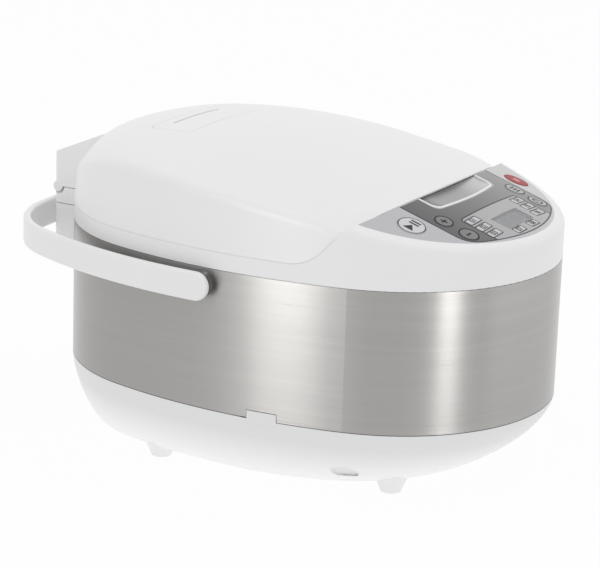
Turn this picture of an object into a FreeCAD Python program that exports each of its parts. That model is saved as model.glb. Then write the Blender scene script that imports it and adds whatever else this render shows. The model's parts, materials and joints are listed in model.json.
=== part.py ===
import FreeCAD, Part
import math
import os
from types import SimpleNamespace

import Sketcher
from FreeCAD import Placement, Rotation, Vector

# Driving dimensions of the cooker, in millimetres and degrees.
# Origin: the middle of the oval body, on the worktop. Front is -Y, up is +Z.
SIZES = {
    # Oval outline of the body
    "half_length": 190.0,
    "half_width": 135.0,
    "end_step": 8.0,
    # Heights, each from the one below
    "pan_bottom": 10.0,
    "pan_height": 47.5,
    "band_height": 105.0,
    "deck_height": 12.5,
    "lid_height": 61.8,
    # Walls and gaps of the casing
    "band_wall": 0.8,
    "casing_wall": 3.0,
    "pan_wall": 2.5,
    "parting_gap": 0.5,
    "fit_gap": 0.3,
    "run_gap": 0.05,
    "lip_height": 6.0,
    # Base pan, feet and side tabs
    "bowl_side_sweep": 22.0,
    "bowl_front_sweep": 52.0,
    "bowl_rear_sweep": 17.0,
    "tab_middle": -35.5,
    "tab_length": 23.0,
    "tab_height": 6.0,
    "recess_setback": 101.0,
    "recess_lift": 11.0,
    "recess_length": 17.0,
    "recess_height": 7.0,
    "recess_depth": 1.2,
    "foot_tip_radius": 7.5,
    "foot_root_radius": 20.0,
    "foot_front_inset": 68.0,
    "foot_front_setback": 83.0,
    "foot_side_inset": 38.0,
    "foot_side_setback": 120.0,
    "foot_rear_inset": 89.0,
    "foot_rear_setback": 47.0,
    # Sloping control panel
    "panel_tilt": 17.7,
    "panel_radius": 600.0,
    "panel_setback": 55.4,
    "panel_rise": 30.8,
    "panel_rim": 8.0,
    "panel_round": 6.0,
    "overlay_depth": 0.8,
    # Parting surface between lid and body
    "parting_setback": 115.0,
    "parting_slant": 48.5,
    "parting_bend": 30.0,
    "parting_bow": 900.0,
    # Lid
    "lid_draft": 4.5,
    "lid_wall": 3.0,
    "crest_setback": 112.0,
    "crest_radius": 600.0,
    "crown_radius": 588.0,
    "front_slope": 8.8,
    "rear_slope": 3.5,
    "rear_radius": 180.0,
    "crease_radius": 8.0,
    "dome_radius": 197.0,
    "dome_setback": 170.0,
    "dome_drop": 146.8,
    "dome_round": 40.0,
    # Hinge block at the back
    "block_half_width": 45.0,
    "block_reach": 16.0,
    "block_length": 66.0,
    "block_rise": 26.5,
    "block_slope": 23.7,
    "block_round": 6.0,
    "cover_height": 36.0,
    "cover_wall": 2.0,
    "cover_rib": 4.0,
    "knuckle_radius": 4.0,
    "knuckle_half": 23.0,
    "hinge_pin_radius": 2.0,
    # Carrying handle
    "pivot_y": 15.0,
    "pivot_drop": 12.0,
    "handle_stand": 12.0,
    "handle_reach": 32.0,
    "handle_thickness": 6.0,
    "handle_height": 21.0,
    "handle_round": 2.2,
    "handle_side_radius": 380.0,
    "handle_corner_radius": 85.0,
    "handle_rear_radius": 500.0,
    "collar_inset": 1.0,
    "pivot_pin_radius": 5.0,
    "sleeve_wall": 3.0,
    "pivot_nut_wall": 3.0,
    "pivot_nut_width": 5.0,
    # Pot and heater
    "pot_setback": 7.5,
    "pot_side_room": 27.0,
    "pot_end_room": 24.5,
    "pot_wall": 1.5,
    "rim_width": 7.0,
    "pot_base_radius": 24.0,
    "well_gap": 9.0,
    "well_wall": 1.0,
    "well_lift": 22.0,
    "flange_width": 7.0,
    "well_hole_inset": 57.0,
    "rim_drop": 0.6,
    "heater_inset": 20.0,
    "heater_height": 16.3,
    "sensor_gap": 3.0,
    "sensor_radius": 17.0,
    "sensor_cap": 5.0,
    "stem_radius": 4.0,
    "stem_length": 22.0,
    "guide_lap": 6.0,
    "guide_wall": 1.5,
    "guide_height": 6.0,
    "fuse_radius": 2.5,
    "fuse_length": 16.0,
    # Keys on the panel: across as a share of the half width, up the slope, radius
    "plus_key_x": -0.43,
    "plus_key_v": -0.8,
    "plus_key_radius": 7.5,
    "minus_key_x": -0.43,
    "minus_key_v": -21.5,
    "minus_key_radius": 8.0,
    "start_key_x": -0.6222,
    "start_key_v": 10.7,
    "start_key_radius": 10.2,
    "cancel_key_x": 0.6259,
    "cancel_key_v": 9.5,
    "cancel_key_radius": 9.5,
    "menu_key_x": 0.432,
    "menu_key_v": -1.0,
    "menu_key_radius": 8.0,
    "timer_key_x": 0.426,
    "timer_key_v": -21.0,
    "timer_key_radius": 8.0,
    "key_proud": 0.4,
    "key_flange": 1.5,
    "key_travel": 0.6,
    "switch_side": 6.0,
    # Display and control board
    "window_half_width": 20.0,
    "window_front": -35.0,
    "window_rear": -19.5,
    "window_thickness": 1.5,
    "board_depth": 19.0,
    "board_thickness": 1.6,
    "board_front": -38.0,
    "board_rear": 18.0,
    "board_front_share": 0.474,
    "board_rear_share": 0.726,
    "board_notch_gap": 6.0,
    "post_radius": 3.0,
    "post_front_share": 0.252,
    "post_front_v": -33.0,
    "post_rear_share": 0.563,
    "post_rear_v": -8.0,
    "screw_radius": 1.5,
    "screw_head_radius": 2.8,
    "screw_head": 1.2,
    # Release button and latch
    "button_half_width": 46.0,
    "button_front": 7.2,
    "button_bow": 250.0,
    "button_corner": 8.0,
    "button_depth": 11.0,
    "button_rim": 1.8,
    "button_gap": 0.4,
    "insert_depth": 4.0,
    "insert_dish": 40.0,
    "insert_dip": 2.8,
    "latch_half_width": 8.0,
    "latch_setback": 37.0,
    "latch_length": 16.0,
    "latch_lift": 7.0,
    "latch_height": 8.5,
    "nose_height": 3.0,
    "nose_length": 14.0,
    "nose_gap": 0.6,
    # Inside of the lid
    "floor_setback": 25.0,
    "liner_thickness": 2.5,
    "plate_inset": 5.5,
    "plate_thickness": 2.0,
    "plate_drop": 3.5,
    "gasket_lap": 10.0,
    "gasket_play": 1.0,
    "gasket_rest": 2.0,
    "boss_radius": 4.0,
    "boss_inset": 23.0,
    "boss_setback": 45.0,
    "boss_turn": 46.4,
    "boss_gap": 2.0,
    # Steam valve
    "valve_half_width": 49.0,
    "valve_setback": 3.0,
    "valve_length": 35.0,
    "valve_round": 5.0,
    "valve_plate": 2.2,
    "valve_radius": 14.0,
    "valve_wall": 1.5,
    "slit_setback": 10.0,
    "slit_half_length": 32.0,
    "slit_width": 2.0,
    # Electrics in the base
    "supply_half_width": 45.0,
    "supply_gap": 20.0,
    "supply_length": 46.0,
    "supply_lift": 35.0,
    "supply_inset": 7.0,
    "inlet_half_width": 14.0,
    "inlet_lift": 12.0,
    "inlet_height": 22.0,
    "inlet_depth": 21.5,
    "inlet_wall": 3.0,
    "inlet_back": 3.5,
    "pin_width": 2.0,
    "pin_height": 4.0,
    "pin_length": 11.0,
    "pin_spacing": 6.0,
    "leg_radius": 5.0,
    "leg_inset": 21.0,
}

doc = FreeCAD.newDocument("Multicooker")
sheet = doc.addObject("Spreadsheet::Sheet", "Sizes")
for row, (alias, number) in enumerate(SIZES.items(), start=1):
    sheet.set("A%d" % row, alias.replace("_", " "))
    sheet.set("B%d" % row, str(number))
    sheet.setAlias("B%d" % row, alias)
doc.recompute()


class Size:
    """A length or angle: its number now, and the sheet expression it follows."""

    def __init__(self, number, text):
        self.number = number
        self.text = text

    def __add__(self, other):
        other = as_size(other)
        return Size(self.number + other.number, "(%s + %s)" % (self.text, other.text))

    def __sub__(self, other):
        other = as_size(other)
        return Size(self.number - other.number, "(%s - %s)" % (self.text, other.text))

    def __mul__(self, other):
        other = as_size(other)
        return Size(self.number * other.number, "(%s * %s)" % (self.text, other.text))

    def __truediv__(self, other):
        other = as_size(other)
        return Size(self.number / other.number, "(%s / %s)" % (self.text, other.text))

    def __radd__(self, other):
        return as_size(other) + self

    def __rsub__(self, other):
        return as_size(other) - self

    def __rmul__(self, other):
        return as_size(other) * self

    def __neg__(self):
        return as_size(0.0) - self


def as_size(value):
    return value if isinstance(value, Size) else Size(float(value), "(%r)" % float(value))


def root(value):
    return Size(math.sqrt(value.number), "sqrt(%s)" % value.text)


def least(first, second):
    return Size(min(first.number, second.number), "min(%s; %s)" % (first.text, second.text))


def sine(angle):
    return Size(math.sin(math.radians(angle.number)), "sin(%s)" % angle.text)


def cosine(angle):
    return Size(math.cos(math.radians(angle.number)), "cos(%s)" % angle.text)


def tangent(angle):
    return Size(math.tan(math.radians(angle.number)), "tan(%s)" % angle.text)


S = SimpleNamespace(**{alias: Size(getattr(sheet, alias), "Sizes." + alias) for alias in SIZES})
NODES = []

# Sizes and places that follow from the driving ones
S.end_radius = S.half_width - S.end_step
S.band_bottom = S.pan_bottom + S.pan_height
S.band_top = S.band_bottom + S.band_height
S.deck_top = S.band_top + S.deck_height
S.crest_z = S.deck_top + S.lid_height
S.recess_y = S.recess_setback - S.half_length
S.recess_z = S.pan_bottom + S.recess_lift
S.panel_y = S.panel_setback - S.half_length
S.panel_z = S.deck_top + S.panel_rise
S.parting_y = S.parting_setback - S.half_length
S.crest_y = S.half_length - S.crest_setback
S.block_rear = S.half_length + S.block_reach
S.block_front = S.block_rear - S.block_length
S.block_rear_z = S.deck_top + S.block_rise
S.pivot_z = S.band_top - S.pivot_drop
S.handle_half_width = S.half_width + S.handle_stand
S.handle_rear = S.half_length + S.handle_reach
S.sleeve_radius = S.pivot_pin_radius + S.sleeve_wall
S.pivot_nut_radius = S.sleeve_radius + S.pivot_nut_wall
S.collar_radius = S.handle_height / 2.0 - S.collar_inset
S.pot_y = (S.half_length + S.parting_y) / 2.0 - S.pot_setback
S.pot_radius = least(S.half_width - S.pot_side_room, (S.half_length - S.parting_y) / 2.0 - S.pot_end_room)
S.rim_radius = S.pot_radius + S.rim_width
S.well_radius = S.pot_radius + S.well_gap
S.well_flange_radius = S.well_radius + S.flange_width
S.well_hole_radius = S.well_radius - S.well_hole_inset
S.well_bottom = S.pan_bottom + S.well_lift
S.pot_base_z = S.well_bottom + S.well_wall + S.heater_height
S.heater_radius = S.pot_radius - S.heater_inset
S.heater_bore = S.sensor_radius + S.sensor_gap
S.guide_radius = S.well_hole_radius + S.guide_lap
S.leg_reach = S.well_radius - S.leg_inset
S.board_front_half = S.half_width * S.board_front_share
S.board_rear_half = S.half_width * S.board_rear_share
S.board_notch_half = S.button_half_width + S.board_notch_gap
S.post_front_x = S.half_width * S.post_front_share
S.post_rear_x = S.half_width * S.post_rear_share
S.latch_front = S.parting_y - S.latch_setback
S.latch_rear = S.latch_front + S.latch_length
S.latch_low = S.deck_top + S.latch_lift
S.latch_high = S.latch_low + S.latch_height
S.nose_tip = S.latch_rear + S.nose_length
S.floor_front = S.parting_y + S.floor_setback
S.plate_radius = S.pot_radius - S.plate_inset
S.gasket_inner = S.pot_radius - S.gasket_lap
S.gasket_step = S.pot_radius - S.gasket_play
S.gasket_radius = S.rim_radius - S.gasket_rest
S.boss_reach = S.gasket_radius + S.boss_radius + S.boss_gap
S.boss_front_x = S.half_width - S.boss_inset
S.boss_front_y = S.parting_y + S.boss_setback
S.boss_rear_x = S.boss_reach * sine(S.boss_turn)
S.boss_rear_y = S.pot_y + S.boss_reach * cosine(S.boss_turn)
S.valve_front = S.crest_y + S.valve_setback
S.valve_rear = S.valve_front + S.valve_length
S.slit_y = S.valve_rear - S.slit_setback
S.supply_rear = S.pot_y - S.well_radius - S.supply_gap
S.supply_front = S.supply_rear - S.supply_length
S.supply_z = S.pan_bottom + S.supply_lift
S.inlet_low = S.pan_bottom + S.inlet_lift
S.inlet_high = S.inlet_low + S.inlet_height
S.inlet_front = S.half_length - S.inlet_depth


# Document helpers

def bind(obj, path, value):
    obj.setExpression(path, as_size(value).text)


def place(obj, x=0.0, y=0.0, z=0.0):
    for axis, value in (("x", x), ("y", y), ("z", z)):
        bind(obj, "Placement.Base." + axis, value)
    return obj


def node(obj, label):
    obj.Label = label
    NODES.append(obj)
    return obj


def arc_between(start, end, radius):
    """Arc of under a half circle; a positive radius turns left from start to end."""
    chord = end - start
    middle = (start + end) * 0.5
    height = math.sqrt(radius * radius - chord.Length * chord.Length / 4.0)
    left = Vector(-chord.y, chord.x, 0).normalize()
    centre = middle + left * math.copysign(height, radius)
    first, last = (start, end) if radius > 0 else (end, start)
    angles = [math.atan2(p.y - centre.y, p.x - centre.x) for p in (first, last)]
    return Part.ArcOfCircle(Part.Circle(centre, Vector(0, 0, 1), abs(radius)), *angles)


def draw(sketch, corners, bends=None):
    """A closed outline through the corners; bends gives the arc radius of some edges."""
    bends = bends or {}
    points = [Vector(as_size(u).number, as_size(v).number, 0) for u, v in corners]
    edges = []
    for i, start in enumerate(points):
        end = points[(i + 1) % len(points)]
        if i in bends:
            edge = sketch.addGeometry(arc_between(start, end, bends[i].number))
            ends = (1, 2) if bends[i].number > 0 else (2, 1)
        else:
            edge = sketch.addGeometry(Part.LineSegment(start, end))
            ends = (1, 2)
        edges.append((edge, ends))
    for i, (edge, ends) in enumerate(edges):
        after, after_ends = edges[(i + 1) % len(edges)]
        sketch.addConstraint(Sketcher.Constraint("Coincident", edge, ends[1], after, after_ends[0]))
    for i, (edge, ends) in enumerate(edges):
        for kind, value in (("DistanceX", corners[i][0]), ("DistanceY", corners[i][1])):
            value = as_size(value)
            index = sketch.addConstraint(
                Sketcher.Constraint(kind, -1, 1, edge, ends[0], value.number))
            sketch.setExpression("Constraints[%d]" % index, value.text)
        if i in bends:
            value = bends[i] if bends[i].number > 0 else -bends[i]
            index = sketch.addConstraint(Sketcher.Constraint("Radius", edge, value.number))
            sketch.setExpression("Constraints[%d]" % index, value.text)


def draw_circle(sketch, u, v, radius):
    u, v, radius = as_size(u), as_size(v), as_size(radius)
    circle = Part.Circle(Vector(u.number, v.number, 0), Vector(0, 0, 1), radius.number)
    edge = sketch.addGeometry(circle)
    for kind, value in (("DistanceX", u), ("DistanceY", v)):
        index = sketch.addConstraint(Sketcher.Constraint(kind, -1, 1, edge, 3, value.number))
        sketch.setExpression("Constraints[%d]" % index, value.text)
    index = sketch.addConstraint(Sketcher.Constraint("Radius", edge, radius.number))
    sketch.setExpression("Constraints[%d]" % index, radius.text)


def sketch_in(body, role, lift=0.0):
    sketch = body.newObject("Sketcher::SketchObject", body.Name + "_sketch")
    plane = next(f for f in body.Origin.OriginFeatures if f.Role == role)
    sketch.AttachmentSupport = (plane, [""])
    sketch.MapMode = "FlatFace"
    bind(sketch, "AttachmentOffset.Base.z", lift)
    return sketch


def extruded(name, loops, length, lift=0.0, role="XY_Plane", taper=None, middle=False):
    """A body padded from a sketch; a loop is (corners, bends) or (u, v, radius)."""
    body = doc.addObject("PartDesign::Body", name)
    sketch = sketch_in(body, role, lift)
    for loop in loops:
        if len(loop) == 3:
            draw_circle(sketch, *loop)
        else:
            draw(sketch, *loop)
    pad = body.newObject("PartDesign::Pad", name + "_pad")
    pad.Profile = sketch
    pad.Midplane = middle
    bind(pad, "Length", length)
    if taper is not None:
        bind(pad, "TaperAngle", taper)
    return body


def turned(name, corners, bends=None, role="XZ_Plane", axis="V_Axis", angle=360.0):
    """A body turned about its sketch's upright or level axis."""
    body = doc.addObject("PartDesign::Body", name)
    sketch = sketch_in(body, role)
    draw(sketch, corners, bends)
    turn = body.newObject("PartDesign::Revolution", name + "_turn")
    turn.Profile = sketch
    turn.ReferenceAxis = (sketch, [axis])
    turn.Midplane = True
    bind(turn, "Angle", angle)
    return body


def box(name, x, y, z):
    """A block between two values on each axis."""
    block = doc.addObject("Part::Box", name)
    for side, (low, high) in (("Length", x), ("Width", y), ("Height", z)):
        bind(block, side, as_size(high) - low)
    return place(block, x[0], y[0], z[0])


def rod(name, radius, length, x=0.0, y=0.0, z=0.0, along="Z"):
    """A round bar that starts at a point and runs along an axis."""
    bar = doc.addObject("Part::Cylinder", name)
    bind(bar, "Radius", radius)
    bind(bar, "Height", length)
    if along == "X":
        bar.Placement = Placement(Vector(), Rotation(Vector(0, 1, 0), 90))
    if along == "Y":
        bar.Placement = Placement(Vector(), Rotation(Vector(1, 0, 0), -90))
    return place(bar, x, y, z)


def cut(name, base, *tools):
    result = doc.addObject("Part::Cut", name)
    result.Base = base
    result.Tool = tools[0] if len(tools) == 1 else fuse(name + "_tools", *tools)
    return result


def fuse(name, *shapes):
    result = doc.addObject("Part::MultiFuse", name)
    result.Shapes = list(shapes)
    return result


def common(name, *shapes):
    result = doc.addObject("Part::MultiCommon", name)
    result.Shapes = list(shapes)
    return result


def group(name, *shapes):
    """Equal separate solids that share one node."""
    result = doc.addObject("Part::Compound", name)
    result.Links = list(shapes)
    return result


def mirrored_pair(name, make):
    return group(name, *(make(name + tag, sign) for tag, sign in (("_left", -1), ("_right", 1))))


# Outline of the body: two end arcs and two side arcs, stepped in by an even inset

def oval(inset=0.0):
    reach = S.half_length - S.end_radius
    spare = S.half_width - S.end_radius
    side = (reach * reach - spare * spare) / (2.0 * spare)
    slope = root(reach * reach + side * side)
    end = S.end_radius - inset
    flank = S.half_width + side - inset
    x = end * side / slope
    y = reach + end * reach / slope
    corners = [(x, -y), (x, y), (-x, y), (-x, -y)]
    return corners, {0: flank, 1: end, 2: flank, 3: end}


def oval_block(name, inset, low, high, taper=None):
    return extruded(name, [oval(inset)], as_size(high) - low, lift=low, taper=taper)


def oval_ring(name, inset, wall, low, high):
    loops = [oval(inset), oval(as_size(inset) + wall)]
    return extruded(name, loops, as_size(high) - low, lift=low)


# Curved surfaces shared by lid and body

def under_parting(name, drop):
    """All that lies below and in front of the parting surface, lowered by a drop."""
    half = tangent(S.parting_slant / 2.0)
    flat = S.deck_top + S.parting_gap - drop
    corner = -S.parting_bow - as_size(drop) * half
    bend = S.parting_bend + drop
    run = bend * half
    rise = S.crest_z - flat
    front = S.parting_bow + S.half_length
    rear = S.parting_bow + S.parting_y - S.handle_rear
    corners = [
        (-front, 0.0),
        (-rear, 0.0),
        (-rear, flat),
        (corner + run, flat),
        (corner - run * cosine(S.parting_slant), flat + run * sine(S.parting_slant)),
        (corner - rise / tangent(S.parting_slant), flat + rise),
        (-front, flat + rise),
    ]
    body = turned(name, corners, {3: -bend}, role="YZ_Plane", angle=70.0)
    return place(body, y=S.parting_y + S.parting_bow)


def under_panel(name, sink):
    """The inside of the large cylinder whose top is the crowned control panel."""
    bar = doc.addObject("Part::Cylinder", name)
    bind(bar, "Radius", S.panel_radius - sink)
    bind(bar, "Height", 4.0 * S.half_length)
    bar.Placement = Placement(Vector(), Rotation(Vector(1, 0, 0), -45))
    bind(bar, "Placement.Rotation.Angle", S.panel_tilt - 90.0)
    lean, upright = sine(S.panel_tilt), cosine(S.panel_tilt)
    return place(
        bar,
        y=S.panel_y + S.panel_radius * lean - S.half_length * upright,
        z=S.panel_z - S.panel_radius * upright - S.half_length * lean,
    )


def under_lid_top(name, sink):
    """All that lies under the lid's crowned top, lowered by a sink."""
    length, rear = S.crest_radius - sink, S.rear_radius - sink
    crown = S.crown_radius - sink
    first = (S.crest_y - length * sine(S.front_slope), crown - length * (1.0 - cosine(S.front_slope)))
    second = (S.crest_y + length * sine(S.rear_slope), crown - length * (1.0 - cosine(S.rear_slope)))
    centre = (second[0] - rear * sine(S.rear_slope), second[1] - rear * cosine(S.rear_slope))
    run = S.half_length + S.casing_wall
    last = (run, centre[1] + root(rear * rear - (run - centre[0]) * (run - centre[0])))
    front = -S.half_length
    corners = [
        (front, crown - S.crest_z / 2.0),
        (run, crown - S.crest_z / 2.0),
        last,
        second,
        first,
        (front, first[1] - (first[0] - front) * tangent(S.front_slope)),
    ]
    bends = {2: rear, 3: length}
    body = turned(name, corners, bends, role="YZ_Plane", axis="H_Axis", angle=40.0)
    return place(body, z=S.crest_z - S.crown_radius)


def rounded(u0, u1, v0, v1, radius):
    """A rectangle with four rounded corners."""
    r = as_size(radius)
    corners = [(u0 + r, v0), (u1 - r, v0), (u1, v0 + r), (u1, v1 - r),
               (u1 - r, v1), (u0 + r, v1), (u0, v1 - r), (u0, v0 + r)]
    return corners, {1: r, 3: r, 5: r, 7: r}


SEAM = S.deck_top + S.parting_gap
HINGE_Y = S.block_rear - S.knuckle_radius - S.fit_gap
HINGE_Z = S.deck_top + S.parting_gap / 2.0
KNUCKLE_SWEEP = S.knuckle_radius * 1.5
KNUCKLE_END = S.knuckle_half + S.parting_gap

# Base pan: an oval bowl that sweeps in most at the front

BOWL_STEPS = 6
BOWL_FLARE = 1.8
BOWL_FALL = 1.25


def lopsided_oval(half_width, front, rear, z):
    """A wire of six arcs whose front and rear reach differ."""
    end = half_width * S.end_radius.number / S.half_width.number
    spare = half_width - end

    def quarter(length):
        reach = length - end
        side = (reach * reach - spare * spare) / (2.0 * spare)
        turn = math.atan2(reach, side)
        flank = half_width + side
        bend = (flank * math.cos(turn / 2.0) - side, flank * math.sin(turn / 2.0))
        return bend, (end * math.cos(turn), reach + end * math.sin(turn))

    (bend_x, bend_y), (x, y) = quarter(rear)
    (dip_x, dip_y), (fx, fy) = quarter(front)
    path = [(half_width, 0), (bend_x, bend_y), (x, y), (0, rear), (-x, y), (-bend_x, bend_y),
            (-half_width, 0), (-dip_x, -dip_y), (-fx, -fy), (0, -front), (fx, -fy),
            (dip_x, -dip_y), (half_width, 0)]
    points = [Vector(px, py, z) for px, py in path]
    arcs = [Part.Arc(*points[i:i + 3]).toShape() for i in range(0, len(points) - 1, 2)]
    return Part.Wire(arcs)


def bowl(name, wall):
    """The bowl's solid, stepped in by a wall on its sides and bottom."""
    wires = []
    depth = S.band_bottom.number - S.pan_bottom.number - wall
    for step in range(BOWL_STEPS + 1):
        turn = math.pi / 2.0 * (1.0 - step / BOWL_STEPS)
        sweep = 1.0 - max(math.cos(turn), 0.0) ** BOWL_FLARE
        wires.append(lopsided_oval(
            S.half_width.number - wall - S.bowl_side_sweep.number * sweep,
            S.half_length.number - wall - S.bowl_front_sweep.number * sweep,
            S.half_length.number - wall - S.bowl_rear_sweep.number * sweep,
            S.band_bottom.number - depth * math.sin(turn) ** BOWL_FALL))
    feature = doc.addObject("Part::Feature", name)
    feature.Shape = Part.makeLoft(wires, True, False)
    return feature


bowl_outside = bowl("bowl_outside", 0.0)
bowl_inside = bowl("bowl_inside", S.pan_wall.number)


def side_box(name, sign, y, z):
    """A block through the casing's left or right wall."""
    inner, outer = S.half_width - 4.0 * S.casing_wall, S.half_width + S.casing_wall
    x = (inner, outer) if sign > 0 else (-outer, -inner)
    return box(name, x, y, z)


def pan_tab(name, sign):
    skirt = oval_ring(name + "_skirt", 0.0, S.pan_wall, S.band_bottom - S.pan_wall,
                      S.band_bottom + S.tab_height)
    y = (S.tab_middle - S.tab_length / 2.0, S.tab_middle + S.tab_length / 2.0)
    return common(name, skirt, side_box(name + "_box", sign, y, (S.pan_bottom, S.band_top)))


def band_notch(name, sign):
    half = S.tab_length / 2.0 + S.fit_gap
    z = (S.pan_bottom, S.band_bottom + S.tab_height + S.fit_gap)
    return side_box(name, sign, (S.tab_middle - half, S.tab_middle + half), z)


LIP_WALL = S.pan_wall - S.band_wall - S.fit_gap
pan_lip = oval_ring("pan_lip", S.band_wall + S.fit_gap, LIP_WALL,
                    S.band_bottom - S.pan_wall, S.band_bottom + S.lip_height)
side_slot = extruded(
    "side_slot",
    [rounded(S.recess_y - S.recess_length / 2.0, S.recess_y + S.recess_length / 2.0,
             S.recess_z - S.recess_height / 2.0, S.recess_z + S.recess_height / 2.0,
             S.recess_height * 0.48)],
    S.half_width * 0.6, lift=-S.half_width, role="YZ_Plane")
side_recess = cut("side_recess", side_slot, bowl("recess_floor_form", S.recess_depth.number))
PAN_FLOOR = S.pan_bottom + S.pan_wall
SUPPLY_POSTS = [(x, y) for x in (-S.supply_half_width + S.supply_inset, S.supply_half_width - S.supply_inset)
                for y in (S.supply_front + S.supply_inset, S.supply_rear - S.supply_inset)]
LEG_STEP = S.leg_reach * math.sqrt(0.5)
LEGS = [(x, S.pot_y + y) for x in (-LEG_STEP, LEG_STEP) for y in (-LEG_STEP, LEG_STEP)]


def each(name, places, make):
    """One object per place, numbered."""
    return [make("%s_%d" % (name, i), x, y) for i, (x, y) in enumerate(places, start=1)]


def upright(radius, low, high):
    """A maker of upright round bars."""
    return lambda name, x, y: rod(name, radius, as_size(high) - low, x, y, low)


def inlet_block(name, gap, front):
    half = S.inlet_half_width + gap
    return box(name, (-half, half), (front, S.half_length),
               (S.inlet_low - gap, S.inlet_high + gap))


pan_shell = fuse("pan_shell", cut("pan_bowl", bowl_outside, bowl_inside), pan_lip,
                 pan_tab("tab_left", -1), pan_tab("tab_right", 1),
                 *each("supply_post", SUPPLY_POSTS, upright(S.post_radius, PAN_FLOOR - 1.0, S.supply_z)),
                 *each("leg", LEGS, upright(S.leg_radius, PAN_FLOOR - 1.0, S.well_bottom)))
LEG_HEAD = PAN_FLOOR + S.pan_wall
node(cut("pan", pan_shell, side_recess, inlet_block("inlet_hole", S.fit_gap, S.inlet_front),
         *each("supply_bore", SUPPLY_POSTS, upright(S.screw_radius, S.supply_z - 10.0, S.supply_z)),
         *each("leg_bore", LEGS, upright(S.screw_radius, 0.0, S.well_bottom)),
         *each("leg_counterbore", LEGS, upright(S.screw_head_radius + S.fit_gap, 0.0, LEG_HEAD))),
     "base_pan")


def foot(name, x, y):
    cone = doc.addObject("Part::Cone", name + "_cone")
    bind(cone, "Radius1", S.foot_tip_radius)
    bind(cone, "Radius2", S.foot_root_radius)
    bind(cone, "Height", S.pan_bottom * 3.0)
    return cut(name, place(cone, x, y), bowl_outside)


FOOT_PLACES = [(sign * x, y) for sign in (-1, 1) for x, y in (
    (S.half_width - S.foot_front_inset, S.foot_front_setback - S.half_length),
    (S.half_width - S.foot_side_inset, S.half_length - S.foot_side_setback),
    (S.half_width - S.foot_rear_inset, S.half_length - S.foot_rear_setback))]
node(group("feet_group", *(foot("foot_%d" % i, x, y) for i, (x, y) in enumerate(FOOT_PLACES))), "feet")

# Steel band round the body

band_sleeve = oval_ring("band_sleeve", 0.0, S.band_wall, S.band_bottom + S.fit_gap,
                        S.band_top - S.fit_gap)
pivot_bore = rod("pivot_bore", S.sleeve_radius + S.fit_gap, 2.0 * S.handle_half_width,
                 x=-S.handle_half_width, y=S.pivot_y, z=S.pivot_z, along="X")
node(cut("band", band_sleeve, band_notch("notch_left", -1), band_notch("notch_right", 1), pivot_bore),
     "steel_band")


# Upper housing: deck, sloping front and the fixed half of the hinge

def edges_between(shape, is_first, is_second):
    """Numbers of the edges that part a face of one kind from a face of another."""
    numbers = []
    for number, edge in enumerate(shape.Edges, start=1):
        faces = shape.ancestorsOfType(edge, Part.Face)
        if any(map(is_first, faces)) and any(map(is_second, faces)):
            numbers.append(number)
    return numbers


def is_upright(face):
    low, high, left, right = face.ParameterRange
    return abs(face.normalAt((low + high) / 2.0, (left + right) / 2.0).z) < 0.2


def is_sloping(face):
    low, high, left, right = face.ParameterRange
    return face.normalAt((low + high) / 2.0, (left + right) / 2.0).z > 0.5


def is_level(face):
    return face.Surface.TypeId == "Part::GeomPlane" and abs(face.normalAt(0.0, 0.0).z) > 0.9


def is_round_wall(face):
    return face.Surface.TypeId == "Part::GeomCylinder" and is_upright(face)


def is_ball(face):
    return face.Surface.TypeId == "Part::GeomSphere"


def is_crown(face):
    return is_sloping(face) and not is_ball(face)


def rounded_edges(name, base, radius, is_first=is_upright, is_second=is_sloping):
    """A fillet on the border between two kinds of faces."""
    doc.recompute()
    result = doc.addObject("Part::Fillet", name)
    result.Base = base
    result.Edges = [(number, radius.number, radius.number)
                    for number in edges_between(base.Shape, is_first, is_second)]
    return result


def housing_solid(name, wall, low):
    """The housing's outer form, stepped in by a wall."""
    oval_part = oval_block(name + "_oval", wall, low, S.crest_z)
    sloped = common(name + "_sloped", oval_part, under_panel(name + "_panel", wall))
    soft = rounded_edges(name + "_soft", sloped, S.panel_round - wall)
    return common(name, soft, under_parting(name + "_parting", S.parting_gap + wall))


def rear_plan(name, wall, low, high):
    """The hinge block's outline from above."""
    half, rear, r = S.block_half_width - wall, S.block_rear - wall, S.block_round - wall
    corners = [(-half, S.block_front), (half, S.block_front), (half, rear - r), (half - r, rear),
               (-half + r, rear), (-half, rear - r)]
    return extruded(name, [(corners, {2: r, 4: r})], as_size(high) - low, lift=low)


def knuckle(name, radius, start, end):
    return rod(name, radius, as_size(end) - start, x=start, y=HINGE_Y, z=HINGE_Z, along="X")


def on_panel(name, loops, low, high):
    """A prism that stands square to the panel, between two heights above it."""
    body = extruded(name, loops, as_size(high) - low, lift=low)
    body.Placement = Placement(Vector(), Rotation(Vector(1, 0, 0), 45))
    bind(body, "Placement.Rotation.Angle", S.panel_tilt)
    return place(body, y=S.panel_y, z=S.panel_z)


def crown_drop(x):
    """How far the crowned panel falls at a distance from its middle."""
    return S.panel_radius - root(S.panel_radius * S.panel_radius - x * x)


KEYS = {}
for label in ("plus_key", "minus_key", "start_key", "cancel_key", "menu_key", "timer_key"):
    share, v, radius = (getattr(S, label + part) for part in ("_x", "_v", "_radius"))
    KEYS[label] = (S.half_width * share, v, radius)
POSTS = [(side * x, v) for x, v in ((S.post_front_x, S.post_front_v), (S.post_rear_x, S.post_rear_v))
         for side in (-1, 1)]
PANEL_BOTTOM = -S.board_depth - S.board_thickness


def key_shelf(label):
    """Height of the top of a key's flange, just under the crowned panel wall."""
    x, v, radius = KEYS[label]
    reach = root(x * x) + radius + S.key_flange
    return -crown_drop(reach) - S.casing_wall - S.fit_gap


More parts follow.
